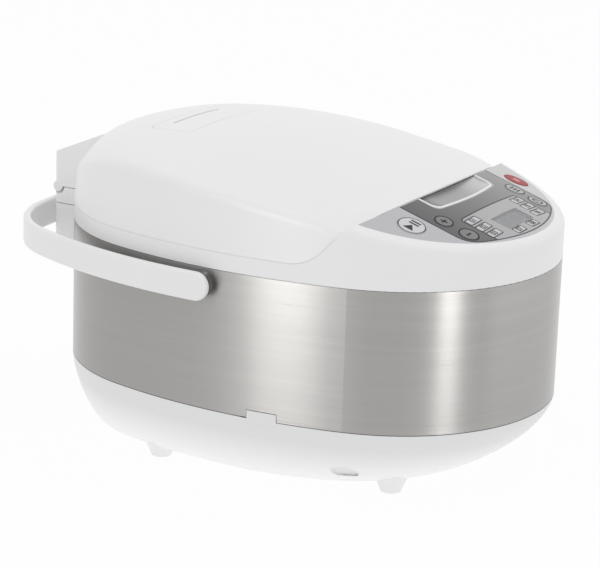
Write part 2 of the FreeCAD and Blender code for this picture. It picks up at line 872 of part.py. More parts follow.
def button_outline(grow):
    """The release button from above: a bowed front, rounded corners, open to the lid."""
    half, front = S.button_half_width + grow, S.button_front - grow
    turn = half - S.button_corner
    lift = S.button_bow - root(S.button_bow * S.button_bow - turn * turn)
    rear = S.button_front + 4.0 * S.button_corner + grow
    corners = [(-turn, front + lift), (turn, front + lift), (half, front + lift + S.button_corner),
               (half, rear + lift), (-half, rear + lift), (-half, front + lift + S.button_corner)]
    return corners, {0: S.button_bow, 1: S.button_corner, 5: S.button_corner}


def window_prism(name, gap, low, high):
    half = S.window_half_width + gap
    outline = rounded(-half, half, S.window_front - gap, S.window_rear + gap, 1.0)
    return on_panel(name, [outline], low, high)


def panel_openings(name):
    """Holes for the keys, the window and the release button."""
    deep, high = PANEL_BOTTOM, S.insert_depth
    holes = [on_panel("%s_%s" % (name, label), [(x, v, radius + S.fit_gap)], deep, high)
             for label, (x, v, radius) in KEYS.items()]
    return holes + [window_prism(name + "_window", S.fit_gap, deep, high),
                    on_panel(name + "_button", [button_outline(S.button_gap)], deep, high)]


def post(name, x, v):
    drop = crown_drop(x) + S.casing_wall / 2.0
    return on_panel(name, [(x, v, S.post_radius)], -S.board_depth, -drop)


def post_bore(name, x, v):
    return on_panel(name, [(x, v, S.screw_radius)], -S.board_depth, -S.board_depth / 2.0)


def latch_box(name, half, y, z):
    return box(name, (-as_size(half), half), y, z)


housing_blank = housing_solid("housing_blank", 0.0, S.band_top)
housing_hollow = housing_solid("housing_hollow", S.casing_wall, S.band_top - S.lip_height)
LIP_INSET = S.band_wall + S.fit_gap
housing_lip = oval_ring("housing_lip", LIP_INSET, S.casing_wall - LIP_INSET,
                        S.band_top - S.lip_height, S.band_top + S.casing_wall)
bulge = rear_plan("bulge", 0.0, S.band_top, S.deck_top)
middle_knuckle = knuckle("middle_knuckle", S.knuckle_radius, -S.knuckle_half, S.knuckle_half)
LATCH_FLOOR = S.latch_low - S.fit_gap
GUIDE_WALL = S.latch_half_width + S.fit_gap + S.casing_wall
guide_y = (S.latch_front, S.nose_tip - S.casing_wall)
guide_floor = latch_box("guide_floor", GUIDE_WALL, guide_y, (LATCH_FLOOR - S.casing_wall, LATCH_FLOOR))
guide_sides = cut(
    "guide_sides",
    latch_box("guide_block", GUIDE_WALL, (S.latch_front, S.latch_rear + S.parting_gap),
              (LATCH_FLOOR, S.latch_high)),
    latch_box("guide_track", S.latch_half_width + S.fit_gap, (S.latch_front, S.latch_rear + S.parting_gap),
              (LATCH_FLOOR, S.latch_high)))
housing_shell = cut("housing_shell", fuse("housing_form", housing_blank, housing_lip, bulge, middle_knuckle),
                    housing_hollow)
housing_stays = fuse("housing_stays", housing_shell, guide_floor, guide_sides,
                     *each("post", POSTS, post))
overlay_recess = cut("overlay_recess", oval_block("recess_oval", S.panel_rim, S.band_top, S.crest_z),
                     under_panel("recess_floor", S.overlay_depth))
POT_SEAT = S.deck_top - S.rim_drop - S.pot_wall
node(cut("housing", housing_stays, overlay_recess, pivot_bore, *panel_openings("opening"),
         *each("post_bore", POSTS, post_bore),
         rod("pot_opening", S.pot_radius + 2.0 * S.pot_wall + S.parting_gap, S.half_width, y=S.pot_y,
             z=S.band_bottom),
         rod("rim_recess", S.rim_radius + S.parting_gap, S.half_width, y=S.pot_y, z=POT_SEAT),
         knuckle("left_sweep", KNUCKLE_SWEEP, -S.half_width, -S.knuckle_half),
         knuckle("right_sweep", KNUCKLE_SWEEP, S.knuckle_half, S.half_width),
         knuckle("pin_seat", S.hinge_pin_radius, -S.knuckle_half, S.knuckle_half),
         latch_box("hook_slot", S.latch_half_width + S.fit_gap, (S.latch_front, S.nose_tip),
                   (S.latch_high - S.nose_height - S.fit_gap, S.latch_high + S.fit_gap))),
     "upper_housing")

# Cover at the back below the hinge, clear of the band and set against the housing by a rib

COVER_TOP = S.band_top - S.parting_gap
COVER_LOW = COVER_TOP - S.cover_height
cover_rib = box("cover_rib", (-S.block_half_width / 2.0, S.block_half_width / 2.0),
                (S.block_rear - S.block_round - S.cover_rib, S.block_rear - S.block_round),
                (COVER_TOP - S.cover_wall, S.band_top))
cover_shell = cut("cover_shell", rear_plan("cover_outside", 0.0, COVER_LOW, COVER_TOP),
                  rear_plan("cover_room", S.cover_wall, COVER_LOW + S.cover_wall, COVER_TOP - S.cover_wall),
                  oval_block("cover_back", -S.fit_gap, S.band_bottom, S.deck_top))
node(fuse("cover", cover_shell, cover_rib), "rear_cover")

# Control panel: overlay, window, display, board and keys

overlay_oval = oval_block("overlay_oval", S.panel_rim + S.run_gap, S.band_top, S.crest_z)
overlay_form = common("overlay_form", overlay_oval, under_panel("overlay_top", 0.0))
overlay_front = common("overlay_front", overlay_form,
                       under_parting("overlay_edge", S.parting_gap + S.fit_gap))
node(cut("overlay", overlay_front, under_panel("overlay_bottom", S.overlay_depth), *panel_openings("cutout")),
     "control_overlay")
window_form = common("window_form", window_prism("window_prism", 0.0, -S.insert_depth, S.insert_depth),
                     under_panel("window_top", 0.0))
node(cut("window", window_form, under_panel("window_bottom", S.window_thickness)), "display_window")
LCD_TOP = -S.window_thickness - crown_drop(S.window_half_width) - S.run_gap
node(window_prism("lcd", -S.fit_gap, -S.board_depth, LCD_TOP), "lcd_module")

board_outline = ([
    (-S.board_front_half, S.board_front), (S.board_front_half, S.board_front),
    (S.board_rear_half, S.board_rear), (S.board_notch_half, S.board_rear), (S.board_notch_half, 0.0),
    (-S.board_notch_half, 0.0), (-S.board_notch_half, S.board_rear), (-S.board_rear_half, S.board_rear),
], {})
board_holes = [(x, v, S.screw_radius) for x, v in POSTS]
node(on_panel("board", [board_outline] + board_holes, PANEL_BOTTOM, -S.board_depth), "control_board")


def board_screw(name, x, v):
    shaft = on_panel(name + "_shaft", [(x, v, S.screw_radius)], PANEL_BOTTOM, -S.board_depth / 2.0)
    head = on_panel(name + "_head", [(x, v, S.screw_head_radius)], PANEL_BOTTOM - S.screw_head, PANEL_BOTTOM)
    return fuse(name, shaft, head)


def tact_switch(label):
    x, v, radius = KEYS[label]
    half = S.switch_side / 2.0
    top = key_shelf(label) - S.screw_head - S.key_travel - S.fit_gap
    outline = rounded(x - half, x + half, v - half, v + half, 0.5)
    return on_panel(label + "_switch", [outline], -S.board_depth, top)


def key(label):
    x, v, radius = KEYS[label]
    shelf = key_shelf(label)
    cap = on_panel(label + "_cap", [(x, v, radius)], shelf - S.screw_head, S.insert_depth)
    trimmed = common(label + "_top", cap, under_panel(label + "_crown", -S.key_proud))
    flange = on_panel(label + "_flange", [(x, v, radius + S.key_flange)], shelf - S.screw_head, shelf)
    return fuse(label + "_form", trimmed, flange)


node(group("board_screw_group", *each("board_screw", POSTS, board_screw)), "board_screws")
node(group("switch_group", *map(tact_switch, KEYS)), "tact_switches")
for label in KEYS:
    node(key(label), label)

# Release button and latch

button_form = common("button_form",
                     on_panel("button_prism", [button_outline(0.0)], -S.button_depth, S.insert_depth),
                     under_panel("button_top", 0.0))
button_edge = common("button_edge", button_form, under_parting("button_rear", S.parting_gap + S.button_gap))
INSERT_INSET = S.button_rim + S.run_gap
insert_prism = on_panel("insert_prism", [button_outline(-INSERT_INSET)], -S.insert_depth, S.insert_depth)
insert_crown = common("insert_crown", insert_prism, under_panel("insert_top", S.fit_gap))
insert_form = common("insert_form", insert_crown, under_parting("insert_rear", S.parting_gap + S.button_gap))
insert_dish = rod("insert_dish", S.insert_dish, 2.0 * S.half_width, x=-S.half_width, along="X")
DISH_V = S.button_front + 2.0 * S.button_corner
DISH_N = S.insert_dish - S.insert_dip
place(insert_dish, x=-S.half_width,
      y=S.panel_y + DISH_V * cosine(S.panel_tilt) - DISH_N * sine(S.panel_tilt),
      z=S.panel_z + DISH_V * sine(S.panel_tilt) + DISH_N * cosine(S.panel_tilt))
button_pocket = on_panel("button_pocket", [button_outline(-S.button_rim)], -S.insert_depth,
                         2.0 * S.insert_depth)
button_hollow = common("button_hollow",
                       on_panel("hollow_prism", [button_outline(-S.button_rim)], -S.button_depth,
                                -S.insert_depth - S.button_rim),
                       under_parting("hollow_rear", S.parting_gap + S.button_rim))
node(cut("button", button_edge, button_pocket, button_hollow), "release_button")
node(cut("insert", insert_form, insert_dish), "release_insert")
node(fuse("latch",
          latch_box("latch_bar", S.latch_half_width, (S.latch_front, S.latch_rear),
                    (S.latch_low, S.latch_high)),
          latch_box("latch_nose", S.latch_half_width, (S.latch_rear, S.nose_tip),
                    (S.latch_high - S.nose_height, S.latch_high))),
     "latch_hook")
node(knuckle("pin", S.hinge_pin_radius, -S.block_half_width + S.parting_gap,
             S.block_half_width - S.parting_gap), "hinge_pin")


# Lid: crowned top, drafted sides, hinge block at the back

def lid_cap(name, sink):
    """All that lies under the lid's crowned top and its domed back, lowered by a sink."""
    ball = doc.addObject("Part::Sphere", name + "_ball")
    bind(ball, "Radius", S.dome_radius - sink)
    place(ball, y=S.half_length - S.dome_setback, z=S.crest_z - S.dome_drop)
    domed = common(name + "_domed", under_lid_top(name + "_top", sink), ball)
    return rounded_edges(name, domed, S.dome_round - sink, is_ball, is_crown)


def lid_solid(name, wall, low):
    """The oval part of the lid, stepped in by a wall, above a level."""
    sides = oval_block(name + "_sides", wall, low, S.crest_z + S.casing_wall, taper=-S.lid_draft)
    crowned = common(name + "_crowned", sides, lid_cap(name + "_cap", wall))
    return rounded_edges(name + "_soft", crowned, S.crease_radius - wall)


def lid_block(name, wall, low):
    """The hinge block from the side: its top slopes down to the back."""
    rear, r = S.block_rear - wall, S.block_round - wall
    drop = wall / cosine(S.block_slope)
    slope = tangent(S.block_slope)
    half = tangent((90.0 - S.block_slope) / 2.0)
    top = S.block_rear_z - drop + wall * slope
    run = r * half
    corners = [
        (S.block_front, low), (rear, low), (rear, top - run),
        (rear - run * cosine(S.block_slope), top + run * sine(S.block_slope)),
        (S.block_front, top + (rear - S.block_front) * slope),
    ]
    side = extruded(name + "_side", [(corners, {2: r})], 2.0 * S.block_half_width,
                    role="YZ_Plane", middle=True)
    return common(name, side, rear_plan(name + "_plan", wall, low, S.crest_z))


LINER_LOW = SEAM + S.parting_gap
LINER_HIGH = LINER_LOW + S.liner_thickness
BOSSES = [(side * x, y) for x, y in ((S.boss_front_x, S.boss_front_y), (S.boss_rear_x, S.boss_rear_y))
          for side in (-1, 1)]
VALVE_Y = (S.valve_front + S.valve_rear) / 2.0


def valve_prism(name, grow, sink, depth):
    """A slab of the lid's top, as wide as the valve's plate."""
    half = S.valve_half_width + grow
    outline = rounded(-half, half, S.valve_front - grow, S.valve_rear + grow, S.valve_round)
    prism = extruded(name + "_prism", [outline], S.casing_wall + S.crest_z - SEAM, lift=SEAM)
    slab = prism if sink is None else common(name + "_slab", prism, under_lid_top(name + "_over", sink))
    return cut(name, slab, under_lid_top(name + "_under", depth))


boss_cap = lid_cap("boss_cap", S.lid_wall / 2.0)


def boss(name, x, y):
    return common(name, rod(name + "_rod", S.boss_radius, S.crest_z - LINER_HIGH, x, y, LINER_HIGH), boss_cap)


lid_blank = fuse("lid_form", lid_solid("lid_blank", 0.0, SEAM), lid_block("block_blank", as_size(0.0), SEAM))
lid_hollow = cut("lid_hollow", lid_solid("lid_inside", S.lid_wall, SEAM),
                 under_parting("lid_floor", -S.lid_wall))
opening_oval = oval_block("opening_oval", S.lid_wall, SEAM - 1.0, SEAM + 2.0 * S.lid_wall)
lid_opening = common("lid_opening", opening_oval,
                     box("opening_box", (-S.half_width, S.half_width), (S.floor_front, S.half_length),
                         (S.band_top, S.crest_z)))
lid_shell = cut("lid_walls", lid_blank, under_parting("lid_parting", 0.0), lid_hollow, lid_opening,
                lid_block("block_hollow", S.lid_wall, SEAM - 1.0))
lid_stays = fuse("lid_stays", lid_shell,
                 valve_prism("valve_pad", S.casing_wall, S.lid_wall / 2.0, S.valve_plate + S.lid_wall),
                 knuckle("left_knuckle", S.knuckle_radius, -S.block_half_width, -KNUCKLE_END),
                 knuckle("right_knuckle", S.knuckle_radius, KNUCKLE_END, S.block_half_width),
                 *each("boss", BOSSES, boss))
node(cut("lid", lid_stays,
         knuckle("middle_sweep", KNUCKLE_SWEEP, -KNUCKLE_END, KNUCKLE_END),
         knuckle("pin_bore", S.hinge_pin_radius + S.run_gap, -S.half_width, S.half_width),
         valve_prism("valve_recess", S.fit_gap, None, S.valve_plate + S.fit_gap),
         rod("valve_hole", S.valve_radius + S.fit_gap, S.crest_z - SEAM, y=VALVE_Y, z=SEAM),
         rod("gasket_seat", S.gasket_radius + S.fit_gap, LINER_LOW - S.band_top, y=S.pot_y, z=S.band_top),
         latch_box("nose_notch", S.latch_half_width + S.nose_gap,
                   (S.parting_y - S.half_width, S.nose_tip + S.nose_gap),
                   (S.band_top, S.latch_high + S.nose_gap)),
         *each("boss_bore", BOSSES, upright(S.screw_radius, LINER_LOW, LINER_HIGH + 3.0 * S.boss_radius))),
     "lid_shell")
liner_form = common("liner_form", oval_block("liner_oval", S.lid_wall + S.fit_gap, LINER_LOW, LINER_HIGH),
                    box("liner_box", (-S.half_width, S.half_width),
                        (S.floor_front + S.fit_gap, S.half_length), (S.band_top, S.crest_z)))
HEAD_TOP = LINER_LOW + S.screw_head
node(cut("liner", liner_form,
         rod("liner_hole", S.valve_radius + S.fit_gap, S.crest_z - S.band_top, y=VALVE_Y, z=S.band_top),
         *each("liner_bore", BOSSES, upright(S.screw_radius, LINER_LOW, LINER_HIGH)),
         *each("liner_sink", BOSSES, upright(S.screw_head_radius + S.run_gap, LINER_LOW, HEAD_TOP))),
     "lid_liner")


def lid_screw(name, x, y):
    tip = LINER_HIGH + 2.0 * S.boss_radius
    return fuse(name, upright(S.screw_radius, LINER_LOW, tip)(name + "_shaft", x, y),
                upright(S.screw_head_radius, LINER_LOW, HEAD_TOP)(name + "_head", x, y))


node(group("lid_screw_group", *each("lid_screw", BOSSES, lid_screw)), "lid_screws")
CATCH_TOP = S.latch_high - S.nose_height - S.fit_gap
node(cut("catch", latch_box("catch_block", GUIDE_WALL, (S.nose_tip + S.nose_gap, S.parting_y + S.casing_wall),
                            (SEAM, CATCH_TOP)),
         under_parting("catch_seat", -S.lid_wall - S.fit_gap)),
     "lid_catch")
PLATE_LOW = SEAM - S.plate_drop
PLATE_TOP = PLATE_LOW + S.plate_thickness
plate_disc = rod("plate_disc", S.plate_radius, S.plate_thickness, y=S.pot_y, z=PLATE_LOW)
steam_holes = [(x, VALVE_Y) for x in (-S.valve_radius / 2.0, as_size(0.0), S.valve_radius / 2.0)]
node(cut("plate", plate_disc,
         *each("steam_hole", steam_holes, upright(S.valve_wall, PLATE_LOW, PLATE_TOP))), "inner_lid_plate")
GASKET_STEP = POT_SEAT + S.pot_wall + S.fit_gap
gasket = turned("gasket", [
    (S.gasket_inner, PLATE_TOP), (S.gasket_step, PLATE_TOP), (S.gasket_step, GASKET_STEP),
    (S.gasket_radius, GASKET_STEP), (S.gasket_radius, LINER_LOW), (S.gasket_inner, LINER_LOW)])
node(place(gasket, y=S.pot_y), "pot_gasket")

# Steam valve

valve_plate = valve_prism("valve_plate", 0.0, 0.0, S.valve_plate)
cup_outside = rod("cup_outside", S.valve_radius, S.crest_z - LINER_LOW, y=VALVE_Y, z=LINER_LOW)
valve_cup = common("valve_cup", cup_outside, under_lid_top("cup_top", S.valve_plate / 2.0))
cup_room = common("cup_room",
                  rod("cup_inside", S.valve_radius - S.valve_wall, S.crest_z - LINER_LOW, y=VALVE_Y,
                      z=LINER_LOW + S.valve_wall),
                  under_lid_top("cup_roof", S.valve_plate))
valve_slit = extruded("valve_slit", [rounded(-S.slit_half_length, S.slit_half_length,
                                             S.slit_y - S.slit_width / 2.0, S.slit_y + S.slit_width / 2.0,
                                             S.slit_width * 0.45)], S.crest_z - SEAM, lift=SEAM)
slit_cut = cut("slit_cut", valve_slit, under_lid_top("slit_floor", S.valve_plate * 0.75))
node(cut("valve", fuse("valve_form", valve_plate, valve_cup), cup_room, slit_cut,
         *each("cup_hole", steam_holes, upright(S.valve_wall, SEAM, LINER_HIGH))), "steam_valve")

# Carrying handle and its pivots

SIDE = (S.handle_half_width - S.handle_side_radius, S.pivot_y)
REAR = (as_size(0.0), S.handle_rear - S.handle_rear_radius)
gap_x, gap_y = REAR[0] - SIDE[0], REAR[1] - SIDE[1]
apart = root(gap_x * gap_x + gap_y * gap_y)
from_side = S.handle_side_radius - S.handle_corner_radius
from_rear = S.handle_rear_radius - S.handle_corner_radius
along = (from_side * from_side - from_rear * from_rear + apart * apart) / (2.0 * apart)
off = root(from_side * from_side - along * along)
CORNER = (SIDE[0] + along * gap_x / apart - off * gap_y / apart,
          SIDE[1] + along * gap_y / apart + off * gap_x / apart)


def on_ray(start, through, radius, distance):
    """The point at a radius from start, in the direction of a second centre."""
    return tuple(s + radius * (t - s) / distance for s, t in zip(start, through))


def handle_edge(inset):
    """Right half of the strap's edge from the pivot to the rear arc, and its three radii."""
    side, rear = S.handle_side_radius - inset, S.handle_rear_radius - inset
    points = [(S.handle_half_width - inset, S.pivot_y), on_ray(SIDE, CORNER, side, from_side),
              on_ray(REAR, CORNER, rear, from_rear)]
    return points, (side, S.handle_corner_radius - inset, rear)


outer, outer_radii = handle_edge(0.0)
inner, inner_radii = handle_edge(S.handle_thickness)
flip = [[(-x, y) for x, y in reversed(points)] for points in (outer, inner)]
strap_corners = outer + flip[0] + [(-x, y) for x, y in inner] + list(reversed(inner))
strap_bends = {0: outer_radii[0], 1: outer_radii[1], 2: outer_radii[2], 3: outer_radii[1], 4: outer_radii[0],
               6: -inner_radii[0], 7: -inner_radii[1], 8: -inner_radii[2], 9: -inner_radii[1],
               10: -inner_radii[0]}
strap = extruded("strap", [(strap_corners, strap_bends)], S.handle_height,
                 lift=S.pivot_z - S.handle_height / 2.0)


def pivot_rod(name, sign, radius, start, end):
    """A round bar on the handle's axis between two distances from the middle."""
    first = start if sign > 0 else -as_size(end)
    return rod(name, radius, as_size(end) - start, x=first, y=S.pivot_y, z=S.pivot_z, along="X")


LOBE_FACE = S.handle_half_width - S.handle_thickness
COLLAR_FACE = LOBE_FACE - S.button_gap
SLEEVE_END = S.half_width - 4.0 * S.casing_wall
PIN_END = S.handle_half_width - S.handle_thickness / 3.0


def lobe(name, sign):
    """The strap's round end in front of the pivot, with the strap's own rounded edges."""
    top, r = S.handle_height / 2.0, S.handle_round
    outline = [(LOBE_FACE, 0.0), (LOBE_FACE, r - top), (LOBE_FACE + r, -top), (S.handle_half_width - r, -top),
               (S.handle_half_width, r - top), (S.handle_half_width, 0.0)]
    if sign < 0:
        outline = [(-x, v) for x, v in reversed(outline)]
    body = turned(name, outline, {1: r, 3: r}, role="XY_Plane", axis="H_Axis", angle=180.0)
    return place(body, y=S.pivot_y, z=S.pivot_z)


strap_soft = rounded_edges("strap_soft", strap, S.handle_round, is_level, is_round_wall)
node(cut("handle", fuse("handle_form", strap_soft, lobe("lobe_left", -1), lobe("lobe_right", 1)),
         rod("handle_bore", S.pivot_pin_radius, 2.0 * PIN_END, x=-PIN_END, y=S.pivot_y, z=S.pivot_z,
             along="X")), "handle_arch")


def collar(name, sign):
    disc = cut(name + "_disc", pivot_rod(name + "_round", sign, S.collar_radius, SLEEVE_END, COLLAR_FACE),
               oval_block(name + "_body", 0.0, S.band_bottom, S.deck_top))
    sleeve = pivot_rod(name + "_sleeve", sign, S.sleeve_radius, SLEEVE_END, S.half_width + S.casing_wall)
    bore = pivot_rod(name + "_bore", sign, S.pivot_pin_radius + S.run_gap, 0.0, S.handle_half_width)
    return cut(name, fuse(name + "_form", disc, sleeve), bore)


def pivot_nut(name, sign):
    end = S.half_width - 1.5 * S.casing_wall
    ring = pivot_rod(name + "_ring", sign, S.pivot_nut_radius, end - S.pivot_nut_width, end)
    bore = pivot_rod(name + "_bore", sign, S.sleeve_radius, 0.0, S.half_width)
    return cut(name, ring, bore)


def pivot_pin(name, sign):
    start = SLEEVE_END - S.fit_gap
    shaft = pivot_rod(name + "_shaft", sign, S.pivot_pin_radius, start, PIN_END)
    head = pivot_rod(name + "_head", sign, S.sleeve_radius, SLEEVE_END - S.casing_wall, start)
    return fuse(name, shaft, head)


node(mirrored_pair("collar", collar), "pivot_collars")
node(mirrored_pair("pivot_nut", pivot_nut), "pivot_nuts")
node(mirrored_pair("pivot_pin", pivot_pin), "pivot_pins")

# Pot, well, heater and sensor

outside, bend = S.pot_radius + S.pot_wall, S.pot_base_radius
pot = turned("pot", [
    (0.0, S.pot_base_z), (outside - bend, S.pot_base_z), (outside, S.pot_base_z + bend), (outside, POT_SEAT),
    (S.rim_radius, POT_SEAT), (S.rim_radius, POT_SEAT + S.pot_wall), (S.pot_radius, POT_SEAT + S.pot_wall),
    (S.pot_radius, S.pot_base_z + bend), (outside - bend, S.pot_base_z + S.pot_wall),
    (0.0, S.pot_base_z + S.pot_wall)], {1: bend, 7: -(bend - S.pot_wall)})
node(place(pot, y=S.pot_y), "inner_pot")

WELL_TOP = S.deck_top - S.casing_wall
FLANGE_LOW = WELL_TOP - S.well_wall
WELL_FLOOR = S.well_bottom + S.well_wall
well = turned("well_turned", [
    (S.well_hole_radius, S.well_bottom), (S.well_radius, S.well_bottom), (S.well_radius, FLANGE_LOW),
    (S.well_flange_radius, FLANGE_LOW), (S.well_flange_radius, WELL_TOP),
    (S.well_radius - S.well_wall, WELL_TOP), (S.well_radius - S.well_wall, WELL_FLOOR),
    (S.well_hole_radius, WELL_FLOOR)])
node(cut("well", place(well, y=S.pot_y), *each("leg_hole", LEGS, upright(S.screw_radius, 0.0, S.supply_z))),
     "inner_well")


def base_screw(name, x, y):
    return fuse(name, upright(S.screw_radius, LEG_HEAD - S.screw_head, WELL_FLOOR)(name + "_shaft", x, y),
                upright(S.screw_head_radius, LEG_HEAD - S.screw_head, LEG_HEAD)(name + "_head", x, y))


node(group("base_screw_group", *each("base_screw", LEGS, base_screw)), "base_screws")
heater_disc = rod("heater_disc", S.heater_radius, S.pot_base_z - WELL_FLOOR, y=S.pot_y, z=WELL_FLOOR)
heater_hole = rod("heater_hole", S.heater_bore, S.pot_base_z, y=S.pot_y)
node(cut("heater", heater_disc, heater_hole), "heating_plate")

CAP_TOP = S.pot_base_z - S.fit_gap
CAP_LOW = CAP_TOP - S.sensor_cap
GUIDE_TOP = S.well_bottom + S.guide_height
node(fuse("sensor", rod("sensor_cap_disc", S.sensor_radius, S.sensor_cap, y=S.pot_y, z=CAP_LOW),
          rod("sensor_stem", S.stem_radius, S.stem_length, y=S.pot_y, z=CAP_LOW - S.stem_length)),
     "temperature_sensor")
SLEEVE_OUT = S.stem_radius + S.sleeve_wall
guide_disc = rod("guide_disc", S.guide_radius, S.guide_wall, y=S.pot_y, z=S.well_bottom - S.guide_wall)
guide_tube = rod("guide_tube", SLEEVE_OUT, 2.0 * S.guide_height, y=S.pot_y,
                 z=GUIDE_TOP - 2.0 * S.guide_height)
node(cut("guide", fuse("guide_form", guide_disc, guide_tube),
         rod("guide_bore", S.stem_radius + S.run_gap, S.pot_base_z, y=S.pot_y)), "sensor_guide")
node(cut("spring", rod("spring_outside", SLEEVE_OUT, CAP_LOW - GUIDE_TOP, y=S.pot_y, z=GUIDE_TOP),
         rod("spring_inside", S.stem_radius + S.parting_gap, S.pot_base_z, y=S.pot_y)), "sensor_spring")
node(rod("thermal", S.fuse_radius, S.fuse_length, x=-S.fuse_length / 2.0,
         y=S.pot_y - S.guide_radius - 3.0 * S.fuse_radius, z=S.well_bottom - S.fuse_radius, along="X"),
     "thermal_fuse")

# Power supply and mains inlet

supply_sheet = box("supply_sheet", (-S.supply_half_width, S.supply_half_width),
                   (S.supply_front, S.supply_rear), (S.supply_z, S.supply_z + S.board_thickness))
supply_holes = each("supply_hole", SUPPLY_POSTS, upright(S.screw_radius, 0.0, S.band_bottom))
node(cut("supply", supply_sheet, *supply_holes), "power_board")
SUPPLY_TOP = S.supply_z + S.board_thickness


def supply_screw(name, x, y):
    return fuse(name, upright(S.screw_radius, S.supply_z - 8.0, SUPPLY_TOP)(name + "_shaft", x, y),
                upright(S.screw_head_radius, SUPPLY_TOP, SUPPLY_TOP + S.screw_head)(name + "_head", x, y))


def supply_block(name, x, y, height):
    """A component on the board; its place is a share of the board's half width and length."""
    middle = (S.supply_front + S.supply_rear) / 2.0
    half = (S.supply_rear - S.supply_front) / 2.0
    return box(name, (x[0] * S.supply_half_width, x[1] * S.supply_half_width),
               (middle + y[0] * half, middle + y[1] * half), (SUPPLY_TOP, SUPPLY_TOP + height))


node(group("supply_screw_group", *each("supply_screw", SUPPLY_POSTS, supply_screw)), "supply_screws")
node(supply_block("winding", (-0.62, -0.02), (-0.55, 0.6), 23.0), "transformer")
node(supply_block("switching", (0.12, 0.5), (-0.5, 0.3), 15.5), "relay")
node(rod("electrolytic", 7.0, 18.0, x=S.supply_half_width * 0.72, y=(S.supply_front + S.supply_rear) / 2.0,
         z=SUPPLY_TOP), "capacitor")

inlet_form = common("inlet_form", inlet_block("inlet_body", 0.0, S.inlet_front), bowl_outside)
INLET_SEAT = S.inlet_front + S.inlet_back
node(cut("inlet", inlet_form, inlet_block("inlet_socket", -S.inlet_wall, INLET_SEAT)), "power_inlet")
INLET_MIDDLE = (S.inlet_low + S.inlet_high) / 2.0


def inlet_pin(name, x, y):
    return box(name, (x - S.pin_width / 2.0, x + S.pin_width / 2.0), (INLET_SEAT, INLET_SEAT + S.pin_length),
               (INLET_MIDDLE + y - S.pin_height / 2.0, INLET_MIDDLE + y + S.pin_height / 2.0))


NONE = as_size(0.0)
PIN_PLACES = [(-S.pin_spacing, NONE), (NONE, S.pin_height / 2.0), (S.pin_spacing, NONE)]
node(group("inlet_pin_group", *each("inlet_pin", PIN_PLACES, inlet_pin)), "inlet_pins")

doc.recompute()

# Check every object, then write one file for each node

broken = [obj.Name for obj in doc.Objects if "Invalid" in obj.State or "Error" in obj.State]
broken += [obj.Label for obj in NODES if obj.Shape.isNull() or not obj.Shape.isValid()]
if broken:
    raise RuntimeError("Objects that did not build: " + ", ".join(broken))
os.makedirs("parts", exist_ok=True)
for obj in NODES:
    obj.Shape.exportStep("parts/%s.step" % obj.Label)
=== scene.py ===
import json
import math

import bmesh
import bpy
from mathutils import Matrix, Vector


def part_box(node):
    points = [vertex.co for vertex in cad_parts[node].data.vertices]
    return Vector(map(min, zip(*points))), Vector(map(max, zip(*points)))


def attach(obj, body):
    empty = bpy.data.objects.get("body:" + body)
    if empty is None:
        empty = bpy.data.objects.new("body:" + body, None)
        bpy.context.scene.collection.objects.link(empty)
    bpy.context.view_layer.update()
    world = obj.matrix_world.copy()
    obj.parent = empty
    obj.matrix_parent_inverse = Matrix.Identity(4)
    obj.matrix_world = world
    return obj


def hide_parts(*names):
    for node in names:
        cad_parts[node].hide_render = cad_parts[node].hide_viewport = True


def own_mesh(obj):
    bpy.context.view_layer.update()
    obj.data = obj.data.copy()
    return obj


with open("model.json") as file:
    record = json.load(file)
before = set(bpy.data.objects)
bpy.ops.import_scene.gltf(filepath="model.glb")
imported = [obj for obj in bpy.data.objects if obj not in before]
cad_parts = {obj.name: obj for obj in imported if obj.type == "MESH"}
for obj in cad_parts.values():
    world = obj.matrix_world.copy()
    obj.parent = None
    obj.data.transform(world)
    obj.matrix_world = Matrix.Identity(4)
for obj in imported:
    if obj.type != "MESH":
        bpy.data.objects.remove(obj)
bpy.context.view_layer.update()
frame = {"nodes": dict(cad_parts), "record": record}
nodes = frame["nodes"]
scene = bpy.context.scene
scene.view_settings.view_transform = "Standard"
MM = 0.001  # lengths on the object are written in millimetres, and turned to metres with this


def wire(tree, kind, settings=(), **inputs):
    """A new node in a tree, with its inputs set or linked; _0, _1 and so on name them by number."""
    made = tree.nodes.new(kind)
    for name, value in dict(settings).items():
        setattr(made, name, value)
    for name, value in inputs.items():
        numbered = name[1:].isdigit()
        socket = made.inputs[int(name[1:]) if numbered else name.replace("_", " ")]
        if isinstance(value, bpy.types.NodeSocket):
            tree.links.new(value, socket)
        else:
            socket.default_value = value
    return made


def worked(tree, operation, *terms):
    """The result of a math node on one or two terms."""
    numbered = {"_%d" % i: term for i, term in enumerate(terms)}
    return wire(tree, "ShaderNodeMath", {"operation": operation}, **numbered).outputs["Value"]


# Finishes

def shade(red, green=None, blue=None):
    """The linear colour of a surface whose screen colour is given from 0 to 255."""
    screen = (red, red if green is None else green, red if blue is None else blue)
    linear = [c / 255.0 / 12.92 if c <= 10 else ((c / 255.0 + 0.055) / 1.055) ** 2.4
              for c in screen]
    return (*linear, 1.0)


def dimmed(colour, share):
    """A colour less a share of its light."""
    return (*(c * (1.0 - share) for c in colour[:3]), 1.0)


